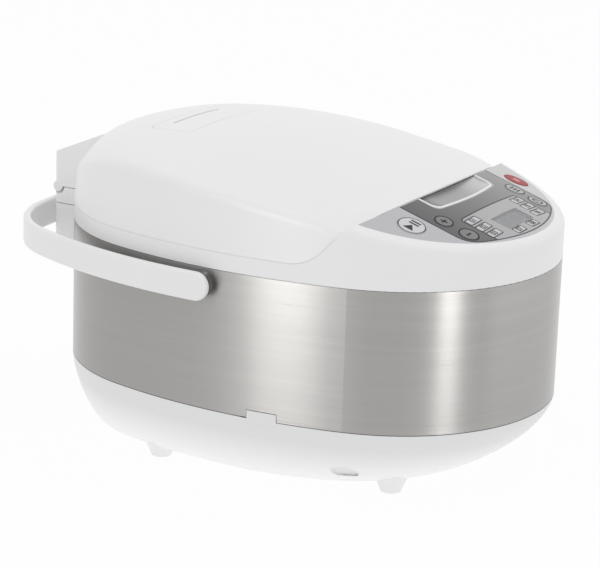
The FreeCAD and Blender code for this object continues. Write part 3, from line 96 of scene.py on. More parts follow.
class Finish:
    """One surface shader and the nodes that vary it over the piece."""

    def __init__(self, name, **values):
        self.material = bpy.data.materials.new(name)
        self.material.use_nodes = True
        self.tree = self.material.node_tree
        self.shader = self.tree.nodes["Principled BSDF"]
        for socket, value in values.items():
            self.shader.inputs[socket.replace("_", " ")].default_value = value
        self.place = self.add("ShaderNodeTexCoord").outputs["Object"]

    def add(self, kind, settings=(), **inputs):
        return wire(self.tree, kind, settings, **inputs)

    def grain(self, scale, detail=3.0, stretch=(1.0, 1.0, 1.0)):
        """Noise over the piece, with grains of about 1/scale metres."""
        spread_out = self.add("ShaderNodeMapping", Vector=self.place, Scale=stretch)
        noise = self.add("ShaderNodeTexNoise", Vector=spread_out.outputs["Vector"],
                         Scale=scale, Detail=detail)
        return noise.outputs["Fac"]

    def along(self, axis, start, end):
        """A ramp from 0 to 1 between two places on an axis, in millimetres."""
        parts = self.add("ShaderNodeSeparateXYZ", Vector=self.place)
        ramp = self.add("ShaderNodeMapRange", From_Min=start * MM, From_Max=end * MM,
                        Value=parts.outputs[axis])
        return ramp.outputs["Result"]

    def colours(self, factor, first, second):
        """A blend of two colours, which are a mix node's sockets 6 and 7 and its output 2."""
        blend = self.add("ShaderNodeMix", {"data_type": "RGBA"}, Factor=factor, _6=first, _7=second)
        return blend.outputs[2]

    def paint(self, factor, first, second):
        """Colours the surface from the first colour to the second."""
        blend = self.colours(factor, first, second)
        self.tree.links.new(blend, self.shader.inputs["Base Color"])

    def dull(self, factor, least, most):
        """Varies the surface's roughness."""
        ramp = self.add("ShaderNodeMapRange", To_Min=least, To_Max=most, Value=factor)
        self.tree.links.new(ramp.outputs["Result"], self.shader.inputs["Roughness"])

    def relief(self, height, strength, depth):
        """Gives the surface a fine texture of a depth in millimetres."""
        bump = self.add("ShaderNodeBump", Strength=strength, Distance=depth * MM, Height=height)
        self.tree.links.new(bump.outputs["Normal"], self.shader.inputs["Normal"])


WHITE_GLOSS = 0.38
CLOUD, SMEAR, SPARK = 22.0, 140.0, 2200.0  # grains of plastic's tone, gloss and texture


def moulded(name, colour, drift=0.02, rough=(0.3, 0.4), grain=SPARK, relief=0.08, **values):
    """Moulded plastic or rubber: faint cloudiness, fine spark texture."""
    made = Finish(name, **values)
    made.paint(made.grain(CLOUD, 2.0), dimmed(colour, drift), colour)
    made.dull(made.grain(SMEAR), *rough)
    made.relief(made.grain(grain, 2.0), relief, 0.05)
    return made.material


def metal(name, colour, rough=(0.25, 0.4), stretch=(1.0, 1.0, 1.0), grain=900.0):
    """Worked metal: streaks or grains that vary its tone and gloss."""
    made = Finish(name, Metallic=1.0)
    streak = made.grain(grain, 4.0, stretch)
    made.paint(streak, dimmed(colour, 0.12), colour)
    made.dull(streak, *rough)
    made.relief(streak, 0.06, 0.03)
    return made.material


def brushed_steel():
    """Steel sheet brushed level round the body: fine streaks, light drawn out up and down."""
    made = Finish("brushed_steel", Metallic=1.0, Anisotropic=0.75, Anisotropic_Rotation=0.25)
    turn = made.add("ShaderNodeTangent", {"direction_type": "RADIAL", "axis": "Z"})
    made.tree.links.new(turn.outputs["Tangent"], made.shader.inputs["Tangent"])
    fine = made.grain(1.0, 4.0, stretch=(9.0, 9.0, 2600.0))
    broad = made.grain(1.0, 2.0, stretch=(3.0, 3.0, 260.0))
    tone = made.colours(broad, shade(160, 158, 156), shade(170, 169, 167))
    made.paint(fine, shade(156, 154, 152), tone)
    made.dull(fine, 0.24, 0.36)
    made.relief(fine, 0.05, 0.02)
    return made.material


RECESS_SHADE_Y, RECESS_SHADE_LIFT = -89.0, 12.4  # middle of the painted shade in the recess; the lift is from the pan's foot
RECESS_SHADE_REACH_Y, RECESS_SHADE_REACH_Z = 10.5, 5.0


def pan_plastic_painted_light():
    """White plastic, painted paler towards the worktop where light from the floor falls, with a
    painted grey shade in the side recess.
    """
    made = Finish("pan_plastic_painted_light", Specular_IOR_Level=WHITE_GLOSS)
    y, z = RECESS_SHADE_Y * MM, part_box("base_pan")[0][2] + RECESS_SHADE_LIFT * MM
    reach_y, reach_z = RECESS_SHADE_REACH_Y * MM, RECESS_SHADE_REACH_Z * MM
    offset = made.add("ShaderNodeMapping", Vector=made.place,
                      Location=(0.0, -y / reach_y, -z / reach_z),
                      Scale=(0.0, 1.0 / reach_y, 1.0 / reach_z))
    away = made.add("ShaderNodeVectorMath", {"operation": "LENGTH"},
                    Vector=offset.outputs["Vector"])
    # painted shade: a soft grey oval over the side recess, where shade falls
    outside = made.add("ShaderNodeMapRange", From_Min=0.7, From_Max=1.05,
                       Value=away.outputs["Value"])
    # painted light: paler towards the worktop, where the floor's bounce light falls
    height = made.colours(made.along("Z", 14.0, 44.0), shade(252), shade(229, 229, 230))
    made.paint(outside.outputs["Result"], shade(233), height)
    made.dull(made.grain(SMEAR), 0.32, 0.4)
    made.relief(made.grain(SPARK, 2.0), 0.08, 0.05)
    return made.material


def lacquer_with_painted_shade(name, end, left, right):
    """Silver lacquer on plastic with painted light: a painted shadow at the left end and a painted
    reflection from darker to brighter across it, with the flake of metal paint.
    """
    made = Finish(name, Metallic=0.8)
    across = made.colours(made.along("X", 4.0, 44.0), left, right)
    made.paint(made.along("X", -43.0, -33.0), end, across)
    made.dull(made.grain(2400.0, 2.0), 0.28, 0.4)
    made.relief(made.grain(3000.0, 2.0), 0.05, 0.02)
    return made.material


def print_with_painted_light(name, left, right):
    """Printed film with painted light: its tone shifts from the panel's left to its right, painted
    shade on the left and painted sheen on the right, with a fine pearl grain.
    """
    made = Finish(name, Specular_IOR_Level=0.25)
    across = made.colours(made.along("X", -70.0, 70.0), left, right)
    pearl = made.add("ShaderNodeMapRange", To_Min=0.97, To_Max=1.02, Value=made.grain(2600.0, 1.0))
    tone = made.add("ShaderNodeVectorMath", {"operation": "SCALE"}, Vector=across,
                    Scale=pearl.outputs["Result"])
    made.tree.links.new(tone.outputs["Vector"], made.shader.inputs["Base Color"])
    made.dull(made.grain(420.0), 0.34, 0.42)
    return made.material


FINISHES = {
    "white_plastic": moulded("white_plastic", shade(236, 236, 237), rough=(0.3, 0.38),
                             Specular_IOR_Level=WHITE_GLOSS),
    "foot_plastic": moulded("milky_plastic", shade(246), rough=(0.4, 0.5)),
    "steel": brushed_steel(),
    # the panel film is painted darker on the left and lighter on the right, as painted shade and
    # sheen
    "panel_film": print_with_painted_light("silver_film", shade(188, 188, 192), shade(204, 203, 203)),
    "clear_window": moulded("clear_window", shade(175, 176, 178), rough=(0.06, 0.1), relief=0.0,
                            Alpha=0.35),
    "display": moulded("display_glass", shade(176, 177, 178), rough=(0.2, 0.3)),
    "circuit_board": moulded("green_laminate", shade(44, 110, 66), drift=0.2, grain=600.0),
    "zinc_screw": metal("bright_zinc", shade(205, 205, 200)),
    "black_plastic": moulded("black_plastic", shade(32, 32, 33), drift=0.15, rough=(0.4, 0.55)),
    # grey keys: painted shade on the left keys, painted sheen on the right ones
    "grey_key": print_with_painted_light("grey_key", shade(118, 118, 120), shade(188, 188, 187)),
    "pale_key": moulded("pale_key", shade(206, 206, 209)),
    "red_key": moulded("red_key", shade(158, 38, 44), drift=0.08, rough=(0.35, 0.45),
                       Specular_IOR_Level=0.25),
    # painted shadow at the insert's left end, then a painted reflection from darker to brighter
    # across it
    "silver_plastic": lacquer_with_painted_shade("silver_lacquer_painted_shade", shade(112, 112, 113), shade(164, 164, 165),
                                shade(204, 204, 205)),
    "inner_plastic": moulded("lid_lining", shade(222), rough=(0.4, 0.5)),
    "aluminium_plate": metal("pressed_aluminium", shade(206, 207, 208), stretch=(1.0, 14.0, 1.0),
                             grain=60.0),
    "seal_rubber": moulded("silicone_seal", shade(216, 216, 214), rough=(0.55, 0.65),
                           Subsurface_Weight=0.15),
    "pot_coating": moulded("non_stick_coating", shade(62, 62, 65), drift=0.25, rough=(0.34, 0.48),
                           grain=1500.0),
    "well_sheet": metal("coated_sheet", shade(200, 200, 198), rough=(0.35, 0.5)),
    "cast_heater": metal("cast_aluminium", shade(178, 178, 176), rough=(0.45, 0.6), grain=500.0),
    "spring_wire": metal("spring_wire", shade(182, 182, 180)),
    "iron_core": metal("laminated_core", shade(92, 84, 70), stretch=(1.0, 1.0, 40.0), grain=40.0),
    "brass_pin": metal("plated_brass", shade(214, 190, 128)),
}
# every ink goes from painted shade at the panel's left to painted sheen at its right
INKS = {
    "dark_field": print_with_painted_light("dark_print", shade(94, 94, 96), shade(152, 150, 150)),
    "display_field": print_with_painted_light("light_print", shade(172, 172, 174), shade(182, 181, 182)),
    "line": print_with_painted_light("line_print", shade(38, 38, 42), shade(60, 60, 64)),
    "frame": print_with_painted_light("frame_print", shade(56, 56, 60), shade(72, 72, 75)),
    "sign": print_with_painted_light("sign_print", shade(22, 22, 25), shade(28, 28, 30)),
    "pale_sign": print_with_painted_light("pale_print", shade(206, 128, 130), shade(212, 140, 142)),
    "pale_field": print_with_painted_light("pale_field", shade(196, 196, 198), shade(202, 202, 203)),
    "segment": print_with_painted_light("segment_print", shade(140, 141, 142), shade(150, 150, 151)),
}
SLOTS = {row["node"]: row["material_slot"] for row in frame["record"]["subparts"]}
for node, slot in SLOTS.items():
    mesh = nodes[node].data
    mesh.materials.clear()
    mesh.materials.append(FINISHES[slot])
# base pan: painted light low down and painted shade in the side recess
nodes["base_pan"].data.materials[0] = pan_plastic_painted_light()
# painted shadow: the pivot collars are coloured dark grey to stand for the shadow round the
# handle's ends
nodes["pivot_collars"].data.materials[0] = moulded("collar_painted_shadow", shade(88, 88, 90), drift=0.1)

# Control panel: places are across (x) and up the slope (v), in millimetres from its middle

PANEL_Y, PANEL_Z = -134.6, 205.8
PANEL_TILT = math.radians(17.7)
PANEL_CROWN = 600.0
LID_ARC_Y, LID_ARC, SEAM_Z = 825.0, 900.0, 175.5
LID_SLANT = math.radians(48.5)
LID_GAP = 1.1
SLOPE_END = 60.0
FIELD_ARC_Y, FIELD_ARC = -44.0, 134.5
FIELD_HALF, FIELD_CORNER = 69.5, 10.0
BUTTON_HALF, BUTTON_FRONT, BUTTON_CORNER, BUTTON_BOW = 46.0, 7.2, 8.0, 250.0
BUTTON_GAP = 0.9
DISPLAY_HALF, DISPLAY_REAR, DISPLAY_CORNER = 45.0, -6.5, 4.0
WINDOW = (-20.0, 20.0, -35.0, -19.5)
WINDOW_GAP, WINDOW_CORNER = 0.6, 1.4
KEY_PROUD, KEY_GAP = 0.4, 0.45
KEYS = {  # x, v and radius
    "plus_key": (-58.05, -0.8, 7.5),
    "minus_key": (-58.05, -21.5, 8.0),
    "start_key": (-84.0, 10.7, 10.2),
    "cancel_key": (84.5, 9.5, 9.5),
    "menu_key": (58.32, -1.0, 8.0),
    "timer_key": (57.51, -21.0, 8.0),
}
INK = 0.03  # half the thickness of a print
FILM_STRIP = 2.5  # width of the strips in which a print bends over the crown


def crown_drop(x):
    """How far the crowned panel has fallen at a distance from its middle."""
    return PANEL_CROWN - math.sqrt(PANEL_CROWN ** 2 - x * x)


def lid_edge(x):
    """How far up the slope the lid's edge is, less its gap, found by halving."""
    low, high = 0.0, SLOPE_END
    for _ in range(40):
        v = (low + high) / 2.0
        y = PANEL_Y + v * math.cos(PANEL_TILT) + crown_drop(x) * math.sin(PANEL_TILT)
        z = PANEL_Z + v * math.sin(PANEL_TILT) - crown_drop(x) * math.cos(PANEL_TILT)
        reach = LID_ARC + (z - SEAM_Z) / math.tan(LID_SLANT) + LID_GAP / math.sin(LID_SLANT)
        before = math.hypot(x, LID_ARC_Y - y) > reach
        low, high = (v, high) if before else (low, v)
    return low


def front_edge(x, inset):
    """How far down the slope the dark field's front is, less an inset."""
    y = FIELD_ARC_Y - math.sqrt((FIELD_ARC - inset) ** 2 - x * x)
    return (y - PANEL_Y - crown_drop(x) * math.sin(PANEL_TILT)) / math.cos(PANEL_TILT)


def spread(start, end, step=1.5):
    """Even places from start to end, about a step apart."""
    count = max(2, int(abs(end - start) / step) + 1)
    return [start + (end - start) * i / (count - 1) for i in range(count)]


def mirrored(points):
    """A line of points on the panel's other side, run the other way."""
    return [(-x, v) for x, v in points][::-1]


def round_line(x, v, radius, steps=72):
    turns = (2.0 * math.pi * i / steps for i in range(steps))
    return [(x + radius * math.cos(a), v + radius * math.sin(a)) for a in turns]


def bend(start, corner, end, steps=8):
    """A rounded corner from start to end, drawn towards the corner."""
    points = []
    for i in range(steps + 1):
        t = i / steps
        pulls = list(zip(((1.0 - t) ** 2, 2.0 * t * (1.0 - t), t * t), (start, corner, end)))
        points.append(tuple(sum(weight * point[k] for weight, point in pulls) for k in (0, 1)))
    return points


def rounded_box(x0, x1, v0, v1, radius):
    corners = [((x0, v0), (1, 0), (0, 1)), ((x1, v0), (0, 1), (-1, 0)),
               ((x1, v1), (-1, 0), (0, -1)), ((x0, v1), (0, -1), (1, 0))]
    points = []
    for (x, v), after, before in corners:
        points += bend((x + before[0] * radius, v + before[1] * radius), (x, v),
                       (x + after[0] * radius, v + after[1] * radius))
    return points


def stroke(points, width):
    """The outline of a line of a given width."""
    sides = ([], [])
    for i, (x, v) in enumerate(points):
        (x0, v0), (x1, v1) = points[max(i - 1, 0)], points[min(i + 1, len(points) - 1)]
        length = math.hypot(x1 - x0, v1 - v0)
        out = (-(v1 - v0) / length * width / 2.0, (x1 - x0) / length * width / 2.0)
        sides[0].append((x + out[0], v + out[1]))
        sides[1].append((x - out[0], v - out[1]))
    return sides[0] + sides[1][::-1]


def field_front(inset):
    """The dark field's sides and front from the left lid edge to the right one."""
    half = FIELD_HALF - inset
    turn_x, front = FIELD_CORNER - half, front_edge(half, inset)
    left = [(-half, v) for v in spread(lid_edge(half), front + FIELD_CORNER)]
    turn = bend(left[-1], (-half, front), (turn_x, front_edge(half - FIELD_CORNER, inset)))
    middle = [(x, front_edge(x, inset)) for x in spread(turn_x, -turn_x)]
    half_line = left[:-1] + turn[:-1]
    return half_line + middle + mirrored(half_line)


def button_edge(grow):
    """The release button's outline from its right rear corner round its front to the left one."""
    half, front, bow = BUTTON_HALF + grow, BUTTON_FRONT - grow, BUTTON_BOW
    turn_x = half - BUTTON_CORNER
    lift = front + bow - math.sqrt(bow * bow - turn_x * turn_x)
    right = [(half, v) for v in spread(lid_edge(half), lift + BUTTON_CORNER)]
    turn = bend(right[-1], (half, lift), (turn_x, lift))
    middle = [(x, front + bow - math.sqrt(bow * bow - x * x)) for x in spread(turn_x, -turn_x)]
    half_line = right[:-1] + turn[:-1]
    return half_line + middle + mirrored(half_line)


def field_outline():
    """The whole dark field, left open for the release button."""
    button = button_edge(BUTTON_GAP)
    right_rear = [(x, lid_edge(x)) for x in spread(FIELD_HALF, button[0][0])]
    return field_front(0.0) + right_rear[1:-1] + button + mirrored(right_rear)[1:-1]


def display_sides(inset):
    """The display zone's outline from its left front corner over its rear to the right one."""
    half, rear = DISPLAY_HALF - inset, DISPLAY_REAR - inset
    turn_x, turn_v = DISPLAY_CORNER - half, rear - DISPLAY_CORNER
    left = [(-half, v) for v in spread(front_edge(half, inset), turn_v)]
    turn = bend((-half, turn_v), (-half, rear), (turn_x, rear))
    middle = [(x, rear) for x in spread(turn_x, -turn_x)]
    half_line = left[:-1] + turn[:-1]
    return half_line + middle + mirrored(half_line)


def display_outline():
    front = [(x, front_edge(x, 0.0)) for x in spread(DISPLAY_HALF, -DISPLAY_HALF)]
    return display_sides(0.0) + front[1:-1]


# Geometry nodes that lay flat work on the crowned, sloping panel

def new_tree(name, inputs):
    """A geometry tree with named inputs, its group input and its last geometry socket."""
    tree = bpy.data.node_groups.new(name, "GeometryNodeTree")
    for label, kind, value in inputs:
        socket = tree.interface.new_socket(label, in_out="INPUT", socket_type=kind)
        if value is not None:
            socket.default_value = value
    tree.interface.new_socket("Geometry", in_out="OUTPUT", socket_type="NodeSocketGeometry")
    given = tree.nodes.new("NodeGroupInput").outputs
    result = tree.nodes.new("NodeGroupOutput").inputs["Geometry"]
    return tree, given, result


PANEL_INPUTS = [
    ("Crown Radius", "NodeSocketFloat", PANEL_CROWN * MM),
    ("Tilt", "NodeSocketFloat", PANEL_TILT),
    ("Middle Y", "NodeSocketFloat", PANEL_Y * MM),
    ("Middle Z", "NodeSocketFloat", PANEL_Z * MM),
    ("Lift", "NodeSocketFloat", 0.0),
    ("Finish", "NodeSocketMaterial", None),
]


def made_real(tree, geometry):
    """Geometry with its instances turned into plain mesh."""
    return wire(tree, "GeometryNodeRealizeInstances", Geometry=geometry).outputs[0]


def finished(tree, given, geometry):
    """Geometry with the finish that the tree is given."""
    done = wire(tree, "GeometryNodeSetMaterial", Geometry=geometry, Material=given["Finish"])
    return done.outputs[0]


def lay_on_panel(tree, given, geometry):
    """Bends flat geometry over the crown, tilts it to the slope and gives it its finish."""
    def work(operation, *terms):
        return worked(tree, operation, *terms)

    position = tree.nodes.new("GeometryNodeInputPosition").outputs[0]
    flat = wire(tree, "ShaderNodeSeparateXYZ", Vector=position).outputs
    crown = given["Crown Radius"]
    reach_squared = work("SUBTRACT", work("MULTIPLY", crown, crown),
                         work("MULTIPLY", flat["X"], flat["X"]))
    drop = work("SUBTRACT", crown, work("SQRT", reach_squared))
    rise = work("SUBTRACT", work("ADD", flat["Z"], given["Lift"]), drop)
    lean, level = work("SINE", given["Tilt"]), work("COSINE", given["Tilt"])
    y = work("SUBTRACT", work("MULTIPLY", flat["Y"], level), work("MULTIPLY", rise, lean))
    z = work("ADD", work("MULTIPLY", flat["Y"], lean), work("MULTIPLY", rise, level))
    place = wire(tree, "ShaderNodeCombineXYZ", X=flat["X"], Y=work("ADD", y, given["Middle Y"]),
                 Z=work("ADD", z, given["Middle Z"]))
    moved = wire(tree, "GeometryNodeSetPosition", Geometry=geometry, Position=place.outputs[0])
    return finished(tree, given, moved.outputs[0])


def print_tree():
    """A flat print laid on the panel."""
    tree, given, result = new_tree(
        "laid_on_panel", [("Flat", "NodeSocketGeometry", None)] + PANEL_INPUTS)
    tree.links.new(lay_on_panel(tree, given, made_real(tree, given["Flat"])), result)
    return tree


def frames_tree():
    """A rounded line frame round each point."""
    tree, given, result = new_tree("line_frames", [
        ("Points", "NodeSocketGeometry", None),
        ("Length", "NodeSocketFloat", 15.4 * MM),
        ("Width", "NodeSocketFloat", 6.6 * MM),
        ("Corner", "NodeSocketFloat", 0.8 * MM),
        ("Line", "NodeSocketFloat", 1.15 * MM),
        ("Height", "NodeSocketFloat", 2.0 * INK * MM)] + PANEL_INPUTS)
    outline = wire(tree, "GeometryNodeCurvePrimitiveQuadrilateral",
                   Width=given["Length"], Height=given["Width"])
    finer = wire(tree, "GeometryNodeSubdivideCurve", Curve=outline.outputs[0], Cuts=4)
    soft = wire(tree, "GeometryNodeFilletCurve", Curve=finer.outputs[0], Radius=given["Corner"])
    section = wire(tree, "GeometryNodeCurvePrimitiveQuadrilateral",
                   Width=given["Line"], Height=given["Height"])
    ring = wire(tree, "GeometryNodeCurveToMesh", Curve=soft.outputs[0],
                Profile_Curve=section.outputs[0])
    spots = wire(tree, "GeometryNodeMeshToPoints", Mesh=given["Points"])
    rings = wire(tree, "GeometryNodeInstanceOnPoints", Points=spots.outputs[0],
                 Instance=ring.outputs[0])
    tree.links.new(lay_on_panel(tree, given, made_real(tree, rings.outputs[0])), result)
    return tree


PRINT_TREE, FRAMES_TREE = print_tree(), frames_tree()


def shown_mesh(holder):
    """The plain mesh that an object shows once its curve or modifier is worked out."""
    bpy.context.view_layer.update()
    graph = bpy.context.evaluated_depsgraph_get()
    return bpy.data.meshes.new_from_object(holder.evaluated_get(graph))


def grown(name, mesh, tree, body, slot, **inputs):
    """Runs a geometry tree on a mesh and keeps the result as a plain piece of a body."""
    source = bpy.data.objects.new(name + "_flat", mesh)
    scene.collection.objects.link(source)
    modifier = source.modifiers.new("shape", "NODES")
    modifier.node_group = tree
    for label, value in inputs.items():
        modifier[tree.interface.items_tree[label.replace("_", " ")].identifier] = value
    result = shown_mesh(source)
    source.modifiers.clear()
    bpy.data.objects.remove(source)
    result.name = name
    result.shade_smooth()
    result.set_sharp_from_angle(angle=math.radians(30.0))
    piece = bpy.data.objects.new(name, result)
    scene.collection.objects.link(piece)
    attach(piece, body)
    return piece


def points_mesh(places):
    mesh = bpy.data.meshes.new("places")
    mesh.from_pydata([(x * MM, v * MM, 0.0) for x, v in places], [], [])
    return mesh


def kept_mesh(bm, name):
    """A mesh from a finished edit, with its faces turned outwards."""
    bmesh.ops.recalc_face_normals(bm, faces=bm.faces[:])
    mesh = bpy.data.meshes.new(name)
    bm.to_mesh(mesh)
    bm.free()
    return mesh


def fill(bm, loops):
    """Fills an outline, leaving its holes open."""
    edges = []
    for loop in loops:
        points = [bm.verts.new((x * MM, v * MM, 0.0)) for x, v in loop]
        edges += [bm.edges.new(pair) for pair in zip(points, points[1:] + points[:1])]
    bmesh.ops.triangle_fill(bm, use_beauty=True, edges=edges, normal=(0.0, 0.0, 1.0))


def film(shapes):
    """A thin print cut into strips that can bend; each shape is an outline and its holes."""
    bm = bmesh.new()
    for loops in shapes:
        fill(bm, loops)
    strips = [vert.co.x / MM / FILM_STRIP for vert in bm.verts]
    for cut in range(math.ceil(min(strips)), math.floor(max(strips)) + 1):
        bmesh.ops.bisect_plane(bm, geom=bm.verts[:] + bm.edges[:] + bm.faces[:], dist=1e-8,
                               plane_co=(cut * FILM_STRIP * MM, 0.0, 0.0), plane_no=(1.0, 0.0, 0.0))
    raised = bmesh.ops.extrude_face_region(bm, geom=bm.faces[:])
    for item in raised["geom"]:
        if isinstance(item, bmesh.types.BMVert):
            item.co.z += 2.0 * INK * MM
    return kept_mesh(bm, "film")


def lettering(marks, size, bold=0.0):
    """Flat figures, each at its place on the panel."""
    bm = bmesh.new()
    for text, x, v in marks:
        curve = bpy.data.curves.new("figure", "FONT")
        curve.body = text
        curve.size = size * MM
        curve.extrude = INK * MM
        curve.offset = bold * MM
        curve.align_x, curve.align_y = "CENTER", "CENTER"
        holder = bpy.data.objects.new("figure", curve)
        scene.collection.objects.link(holder)
        mesh = shown_mesh(holder)
        mesh.transform(Matrix.Translation((x * MM, v * MM, INK * MM)))
        bm.from_mesh(mesh)
        bpy.data.objects.remove(holder)
        bpy.data.meshes.remove(mesh)
    bmesh.ops.remove_doubles(bm, verts=bm.verts[:], dist=1e-8)
    return kept_mesh(bm, "figures")


def laid(name, mesh, ink, body="housing", slot="panel_film", lift=0.0, **inputs):
    """Lays a flat print on the panel, at a lift above it."""
    return grown(name, mesh, PRINT_TREE, body, slot, Finish=INKS[ink], Lift=(lift - INK) * MM,
                 **inputs)


# Prints on the panel: fields and their lines, numbered frames

left, right, front, rear = WINDOW
window_hole = rounded_box(left - WINDOW_GAP, right + WINDOW_GAP, front - WINDOW_GAP,
                          rear + WINDOW_GAP, WINDOW_CORNER)
key_holes = [round_line(x, v, r + KEY_GAP) for x, v, r in KEYS.values() if abs(x) < FIELD_HALF]
laid("dark_field", film([[field_outline(), window_hole] + key_holes]), "dark_field")
laid("display_field", film([[display_outline(), window_hole]]), "display_field", lift=INK)
laid("field_line", film([[stroke(field_front(0.5), 1.0)]]), "line", lift=2 * INK)
laid("display_line", film([[stroke(display_sides(0.3), 1.1)]]), "line", lift=2 * INK)

SIDE_FRAMES = [(-36.0, -13.0), (-37.0, -22.3), (-37.6, -31.6),
               (37.4, -13.0), (36.4, -22.3), (34.6, -31.6)]
FRONT_FRAMES = [(-12.3, -39.3), (9.6, -39.3)]
FRAME_FIELDS = ((SIDE_FRAMES, 15.2, 6.4), (FRONT_FRAMES, 13.2, 6.0))  # places, length and width
grown("side_frames", points_mesh(SIDE_FRAMES), FRAMES_TREE, "housing", "panel_film",
      Finish=INKS["frame"], Lift=2.0 * INK * MM)
grown("front_frames", points_mesh(FRONT_FRAMES), FRAMES_TREE, "housing", "panel_film",
      Finish=INKS["frame"], Lift=2.0 * INK * MM, Length=13.4 * MM, Width=6.2 * MM)
figures = [("0%d" % i, x, v) for i, (x, v) in enumerate(SIDE_FRAMES + FRONT_FRAMES, start=1)]
laid("frame_figures", lettering(figures, 6.4, bold=0.14), "sign", lift=3 * INK)
frame_fields = [[rounded_box(x - long / 2.0, x + long / 2.0, v - wide / 2.0, v + wide / 2.0, 0.8)]
                for places, long, wide in FRAME_FIELDS for x, v in places]
laid("frame_fields", film(frame_fields), "pale_field", lift=1.6 * INK)

# Display figures under the window, flat on the display

DISPLAY_TOP = -1.883
FLAT_CROWN = 1000.0  # metres
laid("display_segments", lettering([("88:88", 0.0, -27.2)], 11.0), "segment", slot="display",
     lift=DISPLAY_TOP + INK, Crown_Radius=FLAT_CROWN)


# Signs on the keys

def bar(x0, v0, x1, v1, width):
    return [stroke([(x0, v0), (x1, v1)], width)]


def cross(x, v, reach, width):
    """An upright cross: one arm's corners, turned to four sides."""
    inner = width / 2.0
    arm = [(reach, -inner), (reach, inner), (inner, inner)]
    turns = ((1, 0), (0, 1), (-1, 0), (0, -1))
    return [[(x + a * c - b * d, v + a * d + b * c) for c, d in turns for a, b in arm]]


def ring(x, v, outer, width):
    return [round_line(x, v, outer), round_line(x, v, outer - width)]


def key_ring(label, width):
    x, v, radius = KEYS[label]
    return ring(x, v, radius - 0.1, width)


def sign(label, shapes, ink="sign"):
    """Prints shapes on a key, with which they move."""
    laid(label.replace("_key", "_sign"), film(shapes), ink, body=label, slot=SLOTS[label],
         lift=KEY_PROUD)


x, v, _ = KEYS["plus_key"]
sign("plus_key", [key_ring("plus_key", 1.4), cross(x, v, 2.9, 1.7)])
x, v, _ = KEYS["minus_key"]
sign("minus_key", [key_ring("minus_key", 1.4), bar(x - 2.8, v, x + 2.8, v, 1.8)])
x, v, _ = KEYS["start_key"]
arrow = [[(x - 6.0, v - 4.2), (x + 0.8, v), (x - 6.0, v + 4.2)]]
pause = [bar(x + s, v - 4.0, x + s, v + 4.0, 1.8) for s in (2.8, 6.0)]
sign("start_key", [key_ring("start_key", 0.7), arrow] + pause, "line")
x, v, _ = KEYS["cancel_key"]
sign("cancel_key", [[rounded_box(x - 2.6, x + 2.6, v - 2.6, v + 2.6, 0.8)]], "pale_sign")
x, v, _ = KEYS["menu_key"]
rows = [bar(x - 3.4, v + s, x + 3.4, v + s, 1.6) for s in (-2.8, 0, 2.8)]
sign("menu_key", [key_ring("menu_key", 1.0)] + rows)
x, v, _ = KEYS["timer_key"]
hands = [stroke([(x, v + 2.4), (x, v), (x + 1.8, v)], 1.2)]
sign("timer_key", [key_ring("timer_key", 1.0), ring(x, v, 4.4, 1.4), hands])

# Hinge caps over the ends of the pin

HINGE_Y, HINGE_Z = 201.7, 175.25
PIN_END, BLOCK_END, CAP_RADIUS = 44.55, 45.03, 2.6


def hinge_caps():
    bm = bmesh.new()
    for side in (-1.0, 1.0):
        middle = Vector((side * (PIN_END + BLOCK_END) / 2.0, HINGE_Y, HINGE_Z)) * MM
        across = Matrix.Translation(middle) @ Matrix.Rotation(math.pi / 2.0, 4, "Y")
        bmesh.ops.create_cone(bm, cap_ends=True, segments=48, radius1=CAP_RADIUS * MM,
                              radius2=CAP_RADIUS * MM, depth=(BLOCK_END - PIN_END) * MM,
                              matrix=across)
    mesh = bpy.data.meshes.new("hinge_caps")
    bm.to_mesh(mesh)
    bm.free()
    mesh.materials.append(FINISHES["white_plastic"])
    piece = bpy.data.objects.new("hinge_caps", mesh)
    scene.collection.objects.link(piece)
    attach(piece, "lid")


hinge_caps()


# Painted shadow: dark beads along the steel band's edges stand for the shadow in its gaps; pale lip
# in the lid's seam

def rod(tree, line, radius):
    """A round rod along a line."""
    section = wire(tree, "GeometryNodeCurvePrimitiveCircle", Resolution=12, Radius=radius)
    swept = wire(tree, "GeometryNodeCurveToMesh", Curve=line, Profile_Curve=section.outputs[0],
                 Fill_Caps=True)
    return swept.outputs[0]


def seam_tree():
    """A round bead along a line of edges."""
    tree, given, result = new_tree("edge_bead", [
        ("Edges", "NodeSocketGeometry", None),
        ("Bead Radius", "NodeSocketFloat", 0.6 * MM),
        ("Finish", "NodeSocketMaterial", None)])
    line = wire(tree, "GeometryNodeMeshToCurve", Mesh=given["Edges"])
    bead = rod(tree, line.outputs[0], given["Bead Radius"])
    tree.links.new(finished(tree, given, made_real(tree, bead)), result)
    return tree


CORE_RADIUS = 100.0  # nearer to the body's middle than this there are only inner faces
FACING_UP, FACING_DOWN = 0.5, -0.3


def faces_out(face):
    """Whether a face is outside the core and looks away from it, not downwards."""
    middle = face.calc_center_median().xy
    return (face.normal.z > FACING_DOWN and face.normal.xy.dot(middle) > MM
            and middle.length > CORE_RADIUS * MM)


